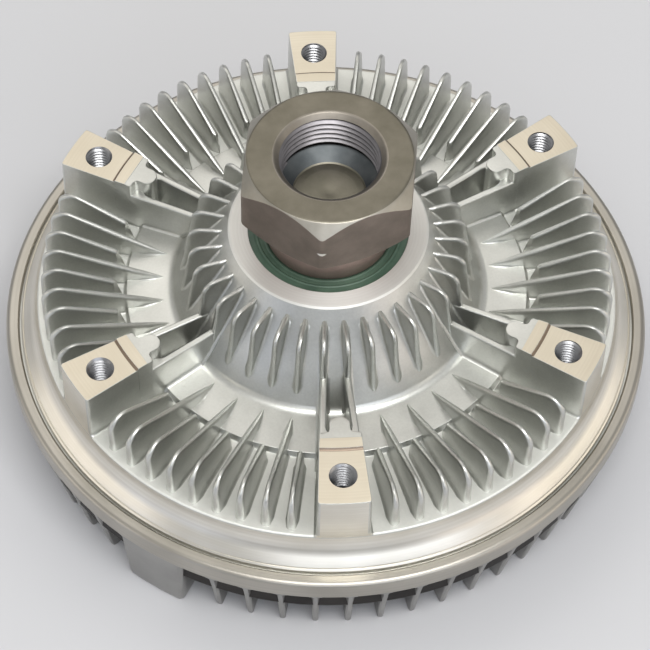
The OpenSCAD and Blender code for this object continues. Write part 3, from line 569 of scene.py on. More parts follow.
def post_rows(high_z, edge_r):
    """Levels of a cast post from under its foot to its top, with how far each stands out."""
    rows = [(floor_z - 3.2, 0.9 * pad_root_r), (floor_z - 0.05, 0.9 * pad_root_r)]
    rows += [(floor_z + pad_root_r * (1 - math.sin(a)), pad_root_r * (1 - math.cos(a)))
             for a in np.radians((78, 56, 28, 0))]
    rows += [(high_z - edge_r * (1 - math.sin(a)), -edge_r * (1 - math.cos(a)))
             for a in np.radians((0, 45, 90))]
    return [(z, out + (high_z - z) * math.tan(pad_draft)) for z, out in rows]


def between_rings(levels, count):
    """Faces from each numbered ring of count points to the ring after it."""
    return [(j * count + i, j * count + (i + 1) % count,
             (j + 1) * count + (i + 1) % count, (j + 1) * count + i) for j in levels for i in range(count)]


def post(name, outline, rows, machined_top, hole=None):
    """Closed post on an outline that runs anticlockwise, with a tapped hole's points and faces if given,
    whose mouth is its first ring. It stays behind the edge of the floor."""
    outline = np.asarray(outline)
    ahead, behind = np.roll(outline, -1, axis=0) - outline, outline - np.roll(outline, 1, axis=0)
    normals = [np.stack((e[:, 1], -e[:, 0]), axis=1) / np.linalg.norm(e, axis=1)[:, None]
               for e in (ahead, behind)]
    normal = normals[0] + normals[1]
    normal = normal / (np.linalg.norm(normal, axis=1) ** 2 / 2)[:, None]
    count = len(outline)
    points = []
    for z, out in rows:
        level = outline + normal * out
        level = level * np.minimum(1, floor_r / np.linalg.norm(level, axis=1))[:, None]
        points += [(x, y, z) for x, y in level]
    faces = between_rings(range(len(rows) - 1), count)
    faces.append(tuple(reversed(range(count))))
    marks = [3 if min(math.hypot(*points[i][:2]) for i in face) > floor_r - 0.03 else 0 for face in faces]
    top = bmesh.new()
    loops = [points[-count:]] + ([hole[0][:hole_steps]] if hole else [])
    edges = []
    for loop in loops:
        verts = [top.verts.new(p) for p in loop]
        edges += [top.edges.new((a, b)) for a, b in zip(verts, verts[1:] + verts[:1])]
    bmesh.ops.triangle_fill(top, use_beauty=True, edges=edges, normal=(0, 0, 1))
    top.verts.index_update()
    base = len(points)
    points += [tuple(v.co) for v in top.verts]
    faces += [tuple(v.index + base for v in face.verts) for face in top.faces]
    marks += [int(machined_top)] * len(top.faces)
    top.free()
    if hole:
        base = len(points)
        points += hole[0]
        faces += [tuple(i + base for i in face) for face in hole[1]]
        marks += [2] * len(hole[1])
    return new_mesh(name, points, faces, marks)


def helix_thread(major_r, pitch, mouth_r, end_r, top_z, foot_z, steps):
    """Points and faces of a right-hand internal thread round the axis, from a ring of mouth_r at top_z down
    to a ring of end_r at foot_z. Its rows follow the helix: two on each crest and two in each root."""
    depth = thread_depth * pitch
    ridge = ((0.0, 0), (0.14, 0), (0.5, 1), (0.64, 1))
    turns = math.ceil((top_z - foot_z) / pitch) + 2
    rows = [((lap + share) * pitch, major_r - depth * (1 - cut))
            for lap in range(turns) for share, cut in ridge]
    points = []
    for j in range(steps):
        angle = 2 * math.pi * j / steps
        for down, radius in rows:
            z = min(max(top_z - down + pitch * j / steps, foot_z), top_z)
            radius = mouth_r if z == top_z else end_r if z == foot_z else max(radius, mouth_r - (top_z - z))
            points.append((radius * math.cos(angle), radius * math.sin(angle), z))
    count = len(rows)
    faces = []
    for j in range(steps):
        for k in range(count - 1):
            if j < steps - 1:
                beside = ((j + 1) * count + k, (j + 1) * count + k + 1)
            else:
                beside = (max(k - len(ridge), 0), max(k + 1 - len(ridge), 0))
            faces.append((j * count + k, beside[0], beside[1], j * count + k + 1))
    return points, faces


def bolt_hole():
    """Points and faces of a tapped hole at the bolt circle, first the ring of its mouth."""
    drill_r = bolt_major_r - thread_depth * bolt_pitch
    thread_z, floor_level = pad_z - bolt_thread_l, pad_z - bolt_depth
    angles = np.arange(hole_steps) * 2 * math.pi / hole_steps
    rings = [(bolt_major_r, pad_z), (drill_r, thread_z), (drill_r, floor_level + bolt_cone_h),
             (0.1, floor_level)]
    points = [(r * math.cos(a), r * math.sin(a), z) for r, z in rings for a in angles]
    faces = between_rings((1, 2), hole_steps)
    faces.append(tuple(range(3 * hole_steps, 4 * hole_steps)))
    base = len(points)
    turns, turn_faces = helix_thread(bolt_major_r, bolt_pitch, bolt_major_r, drill_r, pad_z, thread_z,
                                     hole_steps)
    faces += [tuple(i + base for i in face) for face in turn_faces]
    return [(x + bolt_r, y, z) for x, y, z in points + turns], faces


def both_sides(corners):
    """Outline of corners on one side of a pad, then the same ones mirrored, back to the start."""
    return corners + [(x, -y, radius) for x, y, radius in reversed(corners)]


tuck, tuck_l = 0.06, 1.5
arc_turn = math.asin(pad_half(pilot_r) / pilot_r)
pilot_arc = [(pilot_r * math.cos(a), pilot_r * math.sin(a), 0) for a in np.linspace(-arc_turn, arc_turn, 7)]
outer_arc = [(math.sqrt(floor_r ** 2 - y ** 2), y, 0) for y in pad_out_half * np.linspace(-0.6, 0.6, 7)]
seat_outline = rounded([
    (pad_corner_r, -pad_out_half, 0.8), *outer_arc, (pad_corner_r, pad_out_half, 0.8),
    *both_sides([(pilot_r, pad_half(pilot_r), 0), (pilot_r, pad_half(pilot_r) - tuck, 0),
                 (pilot_r - tuck_l, pad_half(pilot_r) - 2 * tuck, 0)])])
pilot_outline = rounded(pilot_arc + both_sides([(pilot_in_r, pad_half(pilot_in_r), 0)]))
tongue_tuck_r = pilot_in_r + tuck_l
tongue_outline = rounded(both_sides([
    (tongue_tuck_r, pad_half(tongue_tuck_r) - tuck, 0), (pad_in_r, pad_half(pad_in_r), 0.8),
    (pad_in_r, tongue_half, 1.2), (nose_r - tongue_half, tongue_half, tongue_half)]))
pad_seat = post("pad_seat", seat_outline, post_rows(pad_z, pad_edge_r), True, bolt_hole())
pad_pilot = post("pad_pilot", pilot_outline, post_rows(pilot_z, pad_edge_r), True)
pad_tongue = post("pad_tongue", tongue_outline, post_rows(pilot_z - 0.12, tongue_edge_r), False)
ramp_l, ramp_sunk, ramp_inset = 0.8, 0.1, 0.19
ramp_rows, ramp_columns = 7, 13
ramp_points = []
for lift in (1, 0):
    for s in np.linspace(0, 1, ramp_rows):
        radius = pilot_r - ramp_sunk + ramp_l * s
        half_angle = math.asin((pad_half(radius) - ramp_inset) / radius)
        height = pad_z - ramp_sunk + lift * (ramp_sunk + (pilot_z - pad_z) * (1 - s) ** 2)
        ramp_points += [(radius * math.cos(half_angle * t), radius * math.sin(half_angle * t), height)
                        for t in np.linspace(-1, 1, ramp_columns)]
pilot_ramp = new_mesh("pilot_ramp", ramp_points, block_faces(ramp_rows, ramp_columns))

# The tap leaves a shinier cut in the holes, whose darker colour is painted shade inside them, and the pilot
# step carries a brown line of painted shade with the pad's warm reflection painted in.
# Painted shade: the holes' darker colour stands in for the shade inside them.
housing_tapped_painted_shade = cast_aluminium("die_cast_aluminium_tapped_painted_shade", "#8a8b8f", "#a7a8ab", 0.3)
# Painted shade and reflection: the brown step colour stands in for the step's shadow and its warm reflection
# of the pad.
step_painted_shade = turned_aluminium("die_cast_aluminium_step_painted_shade", "#86776a", "#998a7c", 0.45, 0.25)
housing_parts.append(copies(pilot_ramp, pad_angles, pad_step, pad_count, step_painted_shade))
pad_surfaces = (housing_cast, housing_turned, housing_tapped_painted_shade, rim_turned)
for master in (pad_seat, pad_pilot, pad_tongue):
    housing_parts.append(copies(master, pad_angles, pad_step, pad_count, *pad_surfaces))
wall_t, wall_z, wall_edge_r, wall_root_r = 1.9, pad_z - 4.0, 0.55, 1.0
wall_draft = 0.5 / 14
gusset_t, gusset_r, gusset_l = 2.0, 57.8, 3.6


def trough_wall(side):
    """Wall from a pad's flank to the hub, on one side of the trough."""
    in_r = cone_r(wall_z)
    columns = (in_r, in_r + 0.5, in_r + 1.5, in_r + 3, 44, 47, 51, 55, 58, 59.2, 60.4, 61.6, 63, 64.3)
    tops = [(r, wall_z) for r in columns]
    feet = [(in_r - 0.3, floor_at(in_r) - 0.5)] + [(r, floor_at(r)) for r in columns[1:]]

    def thickness(radius):
        return wall_t + gusset_t * np.clip((radius - gusset_r) / gusset_l, 0, 1) ** 2

    def place(radius, across, height):
        return upright(radius, side * (pad_half(radius) - thickness(radius) / 2) + across, height)

    def half(radius, height):
        return (thickness(radius) + wall_draft * (wall_z - height)) / 2

    return plate("trough_wall", tops, feet, tops, half, wall_edge_r, wall_root_r, place)


for side in (-1, 1):
    housing_parts.append(copies(trough_wall(side), pad_angles, pad_step, pad_count, housing_cast))
rear_housing = join_pieces("rear_housing_casting", housing_parts)
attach(rear_housing, "housing")
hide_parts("rear_housing")


# Front cover. A second die casting with its own radial fins and two lugs; its rim is turned, then
# rolled over the edge of the housing, which leaves a smooth bright lip with fine tool lines.
cover_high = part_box("front_cover")[1] / MM
rim_r, crown_z = cover_high.x, cover_high.z
rim_z = crown_z - 6.4
plate_z, work_z = 15.2, 21.5
cover_wall_r = rim_r - 1.9
recess_z, reservoir_r, reservoir_z, seat_z = 9.0, 52.0, 13.0, 20.3
slope_in_r, slope_out_r = reservoir_r - 6, reservoir_r + 6
boss_r, boss_z, pivot_r = 8.0, 17.0, 3.55
valve_plate_r = 60.82
grip_gap = 0.02
grip_r = flange_r + grip_gap
cover_corners = [
    (pivot_r, recess_z, 0), (slope_in_r, recess_z, 3), (slope_out_r, plate_z, 3),
    (cover_wall_r, plate_z, 1.2), (cover_wall_r, rim_z, 0.6), (rim_r, rim_z, 0.5),
    (rim_r, crown_z, 2.6), (lip_r + 0.4, crown_z, 0.3), (lip_r - 0.15, joint_z + 4.0, 0.2),
    (lip_r, lip_z + grip_gap, 0), (grip_r, lip_foot_z + grip_gap, 0), (grip_r, joint_z, 0),
    (chamber_r, joint_z, 0), (chamber_r, work_z, 0), (valve_plate_r, work_z, 0), (valve_plate_r, seat_z, 0),
    (reservoir_r, seat_z, 0), (reservoir_r, reservoir_z, 1), (boss_r, reservoir_z, 1), (boss_r, boss_z, 0.3),
    (pivot_r, boss_z, 0)]


def cover_finish(radius, height):
    """Finish of the cover's body: 1 on the turned rim, 2 on the wall under it, painted near black as the
    shade under the rim.
    """
    if radius > lip_r - 0.2 and height > rim_z + 0.02:
        return 1
    return 2 if radius > cover_wall_r - 0.25 else 0


# The cover is a darker casting. Its rim has a smooth cut, and the wall under it is painted near black as the
# shade that the rim casts.
cover_body = lathe("cover_body", rounded(cover_corners), cover_finish)
cover_cast = cast_aluminium("die_cast_aluminium_cover", "#979694", "#abaaa7", 0.42)
cover_turned = turned_aluminium("cover_rim_turned", "#a9a59d", "#bbb7af", 0.36, 0.25)
# Painted shade: the near black colour of the wall under the rim stands in for the rim's shadow.
cover_painted_shade = cast_aluminium("die_cast_aluminium_painted_shade_under_rim", "#2f2d2c", "#403d3b", 0.5)
cover_root_t, cover_tip_t, cover_root_r, cover_sunk = 2.3, 1.7, 1.0, 0.5
cover_tip_r, cover_fin_step = rim_r - 5.3, 6.0
first_cover_fin = pad_angles + 1.1
lug_half_angle, lug_draft, lug_edge_r, lug_root_r = 5.8, 0.05, 1.6, 1.2


def cover_floor(radius):
    """Height of the cover's underside at a radius."""
    return np.interp(radius, (slope_in_r, slope_out_r), (recess_z, plate_z))


def cover_fin_half(radius, height):
    """Half thickness of a cover fin, drafted towards its lower edge."""
    share = np.clip(height / rim_z, 0, 1)
    return (cover_tip_t + (cover_root_t - cover_tip_t) * share) / 2


def cover_feet(bottoms, corner_r):
    """Feet of a cover fin's columns: on the underside, and for the last four on the wall and the rim."""
    feet = [(r, cover_floor(r)) for r, z in bottoms[:-4]] + [(corner_r, plate_z)]
    return feet + [(cover_wall_r - 0.8, rim_z), (rim_r - 1.2, rim_z), (rim_r - 0.1, rim_z)]


def cover_fin(name, inner_r):
    """Radial fin under the cover, rounded at both ends of its lower edge."""
    bottoms = [(inner_r + along, z) for along, z in ((0, 0.9), (0.12, 0.45), (0.5, 0.1), (1.2, 0))]
    bottoms += [(r, 0) for r in np.linspace(inner_r + 4, cover_tip_r - 3, 7)]
    bottoms += [(cover_tip_r + along, z) for along, z in ((-1.3, 0), (-0.7, 0.08), (-0.2, 0.4), (0.1, 0.9))]
    feet = cover_feet(bottoms, cover_tip_r - 0.5)
    free = [feet[0]] + bottoms + [feet[-1]]
    return plate(name, bottoms, feet, free, cover_fin_half, 0.5, cover_root_r, upright, sunk=cover_sunk)


def cover_lug():
    """Broad cast lug on the cover's edge, drafted on its flanks."""
    in_r, out_r = reservoir_r + 2, rim_r - 2.0
    bottoms = [(in_r + along, z) for along, z in ((0, 1.2), (0.3, 0.4), (1.2, 0))]
    bottoms += [(r, 0) for r in (62, 72, 82, 88)]
    bottoms += [(out_r + along, z) for along, z in ((-1.6, 0), (-0.7, 0.15), (-0.15, 0.7), (0.1, 1.6))]
    feet = cover_feet(bottoms, cover_wall_r - 2)
    free = [feet[0]] + bottoms + [feet[-1]]

    def place(radius, across, height):
        turn = across / rim_r
        return np.stack((radius * np.cos(turn), radius * np.sin(turn), height), axis=1)

    def half(radius, height):
        return rim_r * math.radians(lug_half_angle) + lug_draft * height

    return plate("cover_lug", bottoms, feet, free, half, lug_edge_r, lug_root_r, place,
                 sunk=cover_sunk, strip_steps=10)


cover_parts = [with_finishes(cover_body, cover_cast, cover_turned, cover_painted_shade)]
lug_turn = first_cover_fin - 6 * cover_fin_step
for name, inner_r, steps_on, count in (("long_cover_fin", 37.0, 2, 14), ("short_cover_fin", 59.0, 3, 13)):
    first = lug_turn + steps_on * cover_fin_step
    cover_parts.append(copies(cover_fin(name, inner_r), first, 2 * cover_fin_step, count, cover_cast,
                              group_step=180.0, groups=2))
cover_parts.append(copies(cover_lug(), lug_turn, 180.0, 2, cover_cast))
front_cover = join_pieces("front_cover_casting", cover_parts)
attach(front_cover, "housing")
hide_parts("front_cover")


# Input shaft. Forged and turned steel with a milled hexagon and a female M30 x 2 thread, phosphated
# to a dull brown grey. Its chamfer is painted lighter as the light it reflects, and its neck lighter and
# pinker as painted light in the shade under the hexagon.
shaft_low, shaft_high = (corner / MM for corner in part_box("input_shaft"))
hex_z, shaft_end_z = shaft_high.z, shaft_low.z
hex_foot_z = hex_z - 20.0
hex_half, hex_corner_turn = 23.8, math.radians(-98)
hex_corner_r = hex_half / math.cos(math.radians(30))
hex_reach_r, hex_face_r = hex_corner_r + 0.1, hex_half - 0.401
hex_chamfer_h, hex_under_h, under_r, hex_edge = 4.3, 3.7, 22.0, 0.5
drive_major_r, drive_pitch, drive_thread_l = 15.0, 2.0, 12.0
drive_mouth, mouth_r, drive_depth_z = 0.7, 15.9, hex_z - 16.4
thread_mouth_r, thread_mouth_z = 14.4, hex_z - 1.5
wall_foot_r, wall_top_r = 10.5, 14.2
neck_r, journal_r, seat_r, groove_r = 18.2, 12.48, 9.98, 8.8
journal_end_z, end_chamfer = bearing_bottom + 0.5, 0.8
ring_low_z, ring_high_z = 25.2, 26.7
thread_foot_z = hex_z - drive_mouth - drive_thread_l
root_shade_from_r = drive_major_r - 0.4
floor_marks = ((0, -0.1), (1.3, -0.08), (1.6, 0), (3.4, 0.01), (3.7, 0.05), (5.6, 0.02), (5.9, 0.06),
               (7.8, 0.03), (8.1, 0.07), (wall_foot_r - 0.4, 0.04), (wall_foot_r, 0.4))


def hex_radius(angle):
    """Radius of the hexagon, with its upright edges softened."""
    turn = (angle - hex_corner_turn) % math.radians(60) - math.radians(30)
    straight = hex_half / math.cos(turn)
    return straight - 0.25 * max(0.0, (straight - hex_corner_r + hex_edge) / hex_edge) ** 2


def shaft_profile(angle):
    """Profile of the shaft at an angle, from the middle of the bore floor out and down to its lower end."""
    side_r = hex_radius(angle)
    over = max(side_r - hex_half, 0)
    chamfer_z = hex_z - over * hex_chamfer_h / (hex_reach_r - hex_half)
    chamfer_dip = 0.3 * min(1.0, 2.5 * (hex_corner_r - side_r) / (hex_corner_r - hex_half))
    under_z = hex_foot_z + (side_r - under_r) * hex_under_h / (hex_reach_r - under_r)
    bore = [(r, drive_depth_z + mark) for r, mark in floor_marks]
    bore += [(wall_top_r - 0.05, thread_foot_z - 0.9), (drive_major_r, thread_foot_z - 0.6),
             (drive_major_r, thread_foot_z)]
    bore += [(thread_mouth_r, thread_mouth_z), (mouth_r - 0.35, hex_z - 0.35), (mouth_r, hex_z - 0.1)]
    outside = rounded([
        (mouth_r + 0.4, hex_z, 0), (hex_face_r, hex_z, 1.5), (side_r, chamfer_z - chamfer_dip, 0.35),
        (side_r, under_z, 0.4), (under_r, hex_foot_z, 0.4), (neck_r + 0.8, hex_foot_z, 3.0),
        (neck_r, bearing_top, 0), (journal_r, bearing_top, 0), (journal_r, journal_end_z, 0),
        (seat_r, journal_end_z, 0), (seat_r, ring_high_z, 0), (groove_r, ring_high_z, 0),
        (groove_r, ring_low_z, 0), (seat_r, ring_low_z, 0), (seat_r, shaft_end_z + end_chamfer, 0),
        (seat_r - end_chamfer, shaft_end_z, 0), (0, shaft_end_z, 0)], 3)
    return bore + [tuple(p) for p in outside]


nick_r, nick_z, nick_w, nick_h = hex_corner_r - 0.2, hex_z - 10.2, 1.6, 0.6
nick_place = (nick_r * math.cos(hex_corner_turn) * MM, nick_r * math.sin(hex_corner_turn) * MM, nick_z * MM)
nick_scale = (per_mm(nick_w), per_mm(nick_w), per_mm(nick_h))


def mixed_colour(tree, share, first, second):
    """Colour that goes from the first to the second as share goes from 0 to 1."""
    inputs = {"Factor": share, 6: first, 7: linear(second)}
    return add_node(tree, "ShaderNodeMix", inputs, data_type="RGBA").outputs[2]


def phosphated_steel(name, dark, light, roughness):
    """Stained brown-grey coat with fine pits and turning rings, and one nick that bares the bright steel."""
    material, tree, shader, place = new_material(name, 1.0, roughness)
    feed = add_node(tree, "ShaderNodeCombineXYZ", {"X": axis_distance(tree, place)}).outputs["Vector"]
    rings = noise(tree, feed, 0.8, 2.0)
    stain = noise(tree, place, 9, 6.0, 0.6)
    pits = noise(tree, place, 0.9, 3.0)
    moved = vector_maths(tree, "SUBTRACT", place, nick_place)
    reach = vector_maths(tree, "LENGTH", vector_maths(tree, "MULTIPLY", moved, nick_scale), output="Value")
    limits = {"Value": reach, "From Min": 0.6, "To Min": 1.0, "To Max": 0.0}
    nick = add_node(tree, "ShaderNodeMapRange", limits).outputs["Result"]
    coat = two_tone(tree, stain, 0.3, 0.72, dark, light)
    colour = mixed_colour(tree, nick, coat, "#f2efec")
    tree.links.new(colour, shader.inputs["Base Color"])
    add_relief(tree, shader, maths(tree, "ADD", pits, rings), 0.3, 0.05)
    return material


def cut_steel(name, dark, light, roughness):
    """Cut steel with a patchy film of oil, and painted shade that darkens the roots of the thread."""
    material, tree, shader, place = new_material(name, 1.0, roughness)
    oil = noise(tree, place, 5, 5.0)
    # Painted shade: darker towards the thread's major radius, where the roots lie in shade.
    limits = {"Value": axis_distance(tree, place), "From Min": root_shade_from_r * MM,
              "From Max": drive_major_r * MM}
    root = add_node(tree, "ShaderNodeMapRange", limits).outputs["Result"]
    colour = mixed_colour(tree, root, two_tone(tree, oil, 0.3, 0.7, dark, light), "#2e2b2d")
    tree.links.new(colour, shader.inputs["Base Color"])
    return material


shaft_finishes = [phosphated_steel("phosphated_forged_steel", "#7d726b", "#948880", 0.46),
                  phosphated_steel("phosphated_turned_steel", "#726e62", "#888377", 0.46),
                  cut_steel("cut_steel_painted_root_shade", "#7f7d80", "#969397", 0.4),
                  # Painted light: the chamfer's lighter colour stands in for the bright light it reflects.
                  phosphated_steel("phosphated_steel_chamfer_painted_light", "#9c988e", "#b1ada4", 0.42),
                  cut_steel("drilled_steel", "#575c5f", "#6d7173", 0.5),
                  phosphated_steel("phosphated_drilled_steel", "#838072", "#9b968a", 0.46),
                  phosphated_steel("phosphated_steel_worn", "#857f76", "#9d978e", 0.45),
                  # Painted light: the neck's lighter, pinker colour lifts the shade under the hexagon.
                  phosphated_steel("phosphated_neck_painted_light", "#ae9691", "#c4aca6", 0.5)]
stretch_rows = ((len(floor_marks) - 1, 5), (3, 4), (1, None), (3, 6), (3, 1), (3, 3), (10, 0), (5, 7),
                (len(shaft_profile(0)), 0))
shaft_stretches = [finish for count, finish in stretch_rows for _ in range(count)]
shaft_points, shaft_faces, shaft_marks = turned(shaft_profile, round_steps, shaft_stretches, False)
thread_points, thread_faces = helix_thread(drive_major_r, drive_pitch, thread_mouth_r, drive_major_r,
                                           thread_mouth_z, thread_foot_z, round_steps)
shaft_faces += [tuple(i + len(shaft_points) for i in face) for face in thread_faces]
shaft_marks += [2] * len(thread_faces)
shaft_mesh = new_mesh("input_shaft", shaft_points + thread_points, shaft_faces, shaft_marks)
input_shaft = join_pieces("input_shaft_forging", [with_finishes(shaft_mesh, *shaft_finishes)], 28)
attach(input_shaft, "drive")
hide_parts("input_shaft")


# Bearing seals. Green nitrile rubber moulded on a steel disc, dull, with a faint bloom. The rear one,
# in sight under the hexagon, has two moulded ridges. The rings that seal the cover and the valve are black.
def moulded_rubber(name, dark, light, roughness):
    material, tree, shader, place = new_material(name, 0.0, roughness)
    bloom = two_tone(tree, noise(tree, place, 6, 4.0), 0.3, 0.7, dark, light)
    tree.links.new(bloom, shader.inputs["Base Color"])
    add_relief(tree, shader, noise(tree, place, 0.5, 2.0), 0.2, 0.03)
    return material


def finish_nodes(material, *names):
    """Gives CAD nodes a finished material."""
    for name in names:
        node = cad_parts[name]
        node.data.materials.clear()
        node.data.materials.append(material)


seal_low, seal_high = (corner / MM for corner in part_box("bearing_seal_rear"))
seal_r, seal_z, seal_lip_r, ridge_half, ridge_h = seal_high.x, seal_high.z, 16.9, 0.45, 0.2
seal_corners = [(seal_lip_r, seal_low.z, 0), (seal_r, seal_low.z, 0), (seal_r, seal_z - 0.1, 0),
                (seal_r - 1.5, seal_z, 0.3)]
for ridge_r in (20.8, 18.8):
    seal_corners += [(ridge_r + ridge_half, seal_z - 0.05, 0.2), (ridge_r, seal_z + ridge_h, 0.25),
                     (ridge_r - ridge_half, seal_z - 0.1, 0.2)]
seal_corners.append((seal_lip_r, seal_z - 0.5, 0))
seal_mesh = lathe("seal_disc", rounded(seal_corners, 3), lambda radius, height: 0)
green_rubber = moulded_rubber("nitrile_rubber_green", "#415b4c", "#577261", 0.4)
rear_seal = join_pieces("bearing_seal_disc", [with_finishes(seal_mesh, green_rubber)])
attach(rear_seal, "housing")
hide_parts("bearing_seal_rear")
finish_nodes(green_rubber, "bearing_seal_front")
black_rubber = moulded_rubber("nitrile_rubber_black", "#1d1d1d", "#2b2b2b", 0.5)
finish_nodes(black_rubber, "rim_seal", "valve_shaft_seal")


# Bearing rings, balls and cages. Ground bearing steel with a fine bright finish, and cages moulded
# in brown glass-filled nylon.
def ground_steel(name, dark, light, roughness):
    material, tree, shader, place = new_material(name, 1.0, roughness)
    stretched = add_node(tree, "ShaderNodeMapping", {"Vector": place, "Scale": (1.0, 1.0, 6.0)})
    scratch = noise(tree, stretched.outputs["Vector"], 1.5, 4.0)
    tree.links.new(two_tone(tree, scratch, 0.3, 0.7, dark, light), shader.inputs["Base Color"])
    add_relief(tree, shader, scratch, 0.15, 0.02)
    return material


finish_nodes(ground_steel("bearing_steel_ground", "#b4b7ba", "#c8cbcd", 0.22), "bearing_outer_ring",
             "bearing_inner_ring", "bearing_balls", "valve_shaft")
finish_nodes(moulded_rubber("nylon_moulded_brown", "#6d4f29", "#85663a", 0.45), "bearing_cage_rear",
             "bearing_cage_front")


# Rotor and its ring. A turned aluminium disc on the shaft, held by a blackened spring-steel C ring.
# The clip of the valve shaft is the same steel.
finish_nodes(turned_aluminium("rotor_aluminium_turned", "#b3b5b4", "#c9cbc9", 0.3), "clutch_rotor")
finish_nodes(ground_steel("spring_steel_blackened", "#34373b", "#4a4d52", 0.4), "rotor_retaining_ring",
             "valve_shaft_clip")


# Thermostat valve. Pressed, zinc-plated plate and arm with a yellowish sheen, plated screws and
# bracket, and dull grey moulded wipers that push the oil back.
finish_nodes(ground_steel("sheet_steel_zinc_plated", "#a8a595", "#c2bfae", 0.3), "valve_plate", "valve_arm")
finish_nodes(ground_steel("steel_zinc_plated", "#9a9ca0", "#b3b5b8", 0.3), "valve_plate_screws",
             "coil_anchor", "coil_anchor_screw")
finish_nodes(moulded_rubber("phenolic_moulded_grey", "#47494d", "#5c5f63", 0.45), "return_wipers")


# Bimetal coil. A spiral of rolled strip, yellowish on its brass-rich side. Its bent inner end sits in the
# slot of the valve shaft and its outer end in the bracket, so it winds up as the shaft turns.
coil_low, coil_high = (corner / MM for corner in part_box("bimetal_coil"))
strip_t, strip_edge, strip_bend_r, coil_turns = 0.8, 0.12, 1.0, 4.5
slot_r, coil_in_r, coil_out_r = 3.5, 4.6, 26.6
bends = np.radians(np.linspace(15, 75, 5))
strip_line = [(-slot_r, 0), (0, 0), (coil_in_r - strip_bend_r, 0)]
strip_line += [(coil_in_r - strip_bend_r * (1 - math.sin(a)), strip_bend_r * (1 - math.cos(a)))
               for a in bends]
for a in np.radians(np.arange(14, 360 * coil_turns - 2, 5)):
    radius = coil_in_r + (coil_out_r - coil_in_r) * a / (2 * math.pi * coil_turns)
    strip_line.append((radius * math.cos(a), radius * math.sin(a)))
strip_line += [(-coil_out_r - strip_bend_r * (1 - math.cos(a)), strip_bend_r * (1 - math.sin(a)))
               for a in bends]
strip_line += [(-coil_out_r - strip_bend_r, 0), (coil_low[0], 0)]
strip_line = np.array(strip_line)
ahead = np.gradient(strip_line, axis=0)
ahead = ahead / np.linalg.norm(ahead, axis=1)[:, None]
half_t, half_w, middle_z = strip_t / 2, (coil_high[2] - coil_low[2]) / 2, (coil_high[2] + coil_low[2]) / 2
quarter = [(half_t, half_w - strip_edge), (half_t - strip_edge, half_w)]
section = [(half_t, strip_edge - half_w), *quarter, *((-side, up) for side, up in reversed(quarter)),
           (-half_t, strip_edge - half_w), (strip_edge - half_t, -half_w), (half_t - strip_edge, -half_w)]
sides = len(section)
strip_points = [(x - dy * side, y + dx * side, middle_z + up)
                for (x, y), (dx, dy) in zip(strip_line, ahead) for side, up in section]
strip_faces = between_rings(range(len(strip_line) - 1), sides)
strip_faces += [tuple(reversed(range(sides))), tuple(range(len(strip_points) - sides, len(strip_points)))]
bimetal = ground_steel("bimetal_strip_rolled", "#95805a", "#b29a6e", 0.33)
strip_mesh = new_mesh("strip", strip_points, strip_faces)
coil = join_pieces("bimetal_coil_strip", [with_finishes(strip_mesh, bimetal)])
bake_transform(coil)
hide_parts("bimetal_coil")


# Studio, in metres. A pale paper floor that runs up into a backdrop, lit by large softboxes above,
# behind and in front, long panels at both sides, and two low, weak softboxes near the front corners.
floor_half, bend_r, wall_h = 3.0, 0.8, 2.0
sweep_line = [(-floor_half, 0)]
sweep_line += [(floor_half + bend_r * math.sin(a), bend_r * (1 - math.cos(a)))
               for a in np.radians(np.linspace(0, 90, 13))]
sweep_line.append((floor_half + bend_r, wall_h))
backdrop_mesh = bpy.data.meshes.new("paper_sweep")
backdrop_mesh.from_pydata([(x, y, z) for y, z in sweep_line for x in (-floor_half, floor_half)], [],
                          [(2 * i, 2 * i + 1, 2 * i + 3, 2 * i + 2) for i in range(len(sweep_line) - 1)])
backdrop_mesh.shade_smooth()
backdrop = bpy.data.objects.new("paper_sweep", backdrop_mesh)
bpy.context.scene.collection.objects.link(backdrop)
paper, _, paper_shader, _ = new_material("matte_paper", 0.0, 0.8)
paper_shader.inputs["Base Color"].default_value = linear("#cecfd3")
backdrop_mesh.materials.append(paper)

world = bpy.data.worlds.new("studio")
world.use_nodes = True
sky_tree = world.node_tree
sky_place = add_node(sky_tree, "ShaderNodeTexCoord").outputs["Generated"]
sky_axes = add_node(sky_tree, "ShaderNodeSeparateXYZ", {"Vector": sky_place})
sky_height = add_node(sky_tree, "ShaderNodeMapRange", {"Value": sky_axes.outputs["Z"], "From Min": -1.0})
sky_ramp = add_node(sky_tree, "ShaderNodeValToRGB", {"Fac": sky_height.outputs["Result"]})
sky_colours = ((0.0, "#a0a3a8"), (0.5, "#a0a3a8"), (0.57, "#b4b6ba"), (0.68, "#f0efec"), (1.0, "#f6f5f2"))
for position, colour in sky_colours[1:-1]:
    sky_ramp.color_ramp.elements.new(position)
for element, (position, colour) in zip(sky_ramp.color_ramp.elements, sky_colours):
    element.color = linear(colour)
sky = sky_tree.nodes["Background"]
sky_tree.links.new(sky_ramp.outputs["Color"], sky.inputs["Color"])
sky.inputs["Strength"].default_value = 0.6
bpy.context.scene.world = world
lamp_aim = Vector((0, 0, 0.04))
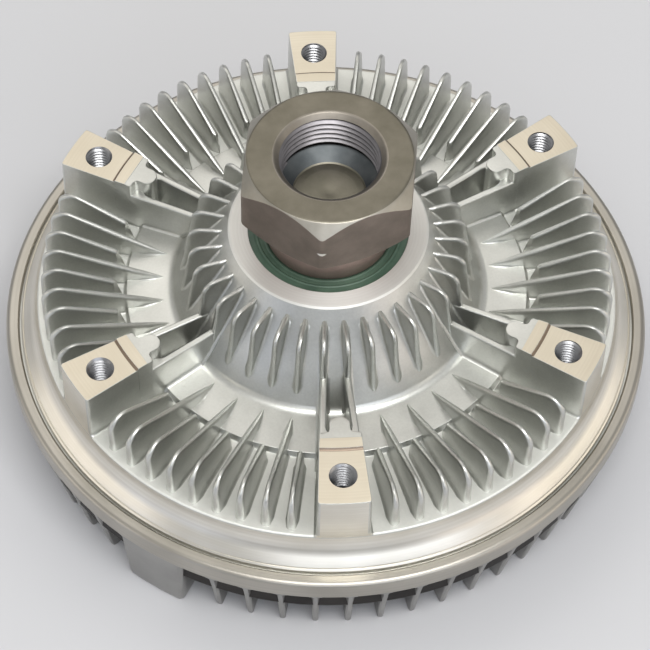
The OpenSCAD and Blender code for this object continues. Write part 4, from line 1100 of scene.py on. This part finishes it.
for name, place, size, power, colour, roll in (
        ("top_softbox", (0.12, -0.5, 1.25), (0.8, 0.5), 8.5, "#fffefb", 0),
        ("rear_softbox", (-0.2, 0.8, 1.1), (1.4, 1.0), 3.6, "#fffaf2", 0),
        ("front_softbox", (0.3, -1.3, 0.82), (1.6, 0.5), 4.2, "#edf3ff", 0),
        ("left_panel", (-1.45, -0.2, 0.36), (1.6, 0.4), 2.4, "#fff5e6", 27),
        ("right_panel", (1.45, -0.2, 0.36), (1.6, 0.4), 2.7, "#fff3e0", -27),
        ("left_softbox", (-1.1, -0.95, 0.2), (1.0, 0.3), 0.7, "#dfe8ff", 0),
        ("right_softbox", (1.1, -0.95, 0.2), (1.0, 0.3), 1.1, "#fff0e4", 0)):
    light = bpy.data.lights.new(name, "AREA")
    light.shape = "RECTANGLE"
    light.size, light.size_y = size
    light.energy = power
    light.color = linear(colour)[:3]
    holder = bpy.data.objects.new(name, light)
    holder.location = place
    turn = (lamp_aim - Vector(place)).to_track_quat("-Z", "Y") @ Quaternion((0, 0, 1), math.radians(roll))
    holder.rotation_euler = turn.to_euler()
    bpy.context.scene.collection.objects.link(holder)
bpy.context.scene.view_settings.view_transform = "Standard"


# Camera, at the photograph's angle: a long lens that looks down on the pads from the front.
# Distances are in metres.
lens_mm, sensor_mm = 142.39, 36.0
elevation, roll, azimuth = math.radians(54.88397), math.radians(1.51994), math.radians(-4.386777)
camera_distance, camera_right, camera_up = 0.752875, -0.0007998, -0.0214257
turn, tip, tilt = (Matrix.Rotation(angle, 3, axis) for angle, axis in
                   ((azimuth, "Z"), (math.pi / 2 - elevation, "X"), (roll, "Z")))
axes = turn @ tip @ tilt
place = axes @ Vector((camera_right, camera_up, camera_distance))
camera_data = bpy.data.cameras.new("photo_camera")
camera_data.lens = lens_mm
camera_data.sensor_width = sensor_mm
camera_data.clip_start, camera_data.clip_end = 0.01, 50
camera = bpy.data.objects.new("photo_camera", camera_data)
camera.matrix_world = Matrix.Translation(place + Vector((0, 0, pad_z * MM))) @ axes.to_4x4()
bpy.context.scene.collection.objects.link(camera)
bpy.context.scene.camera = camera
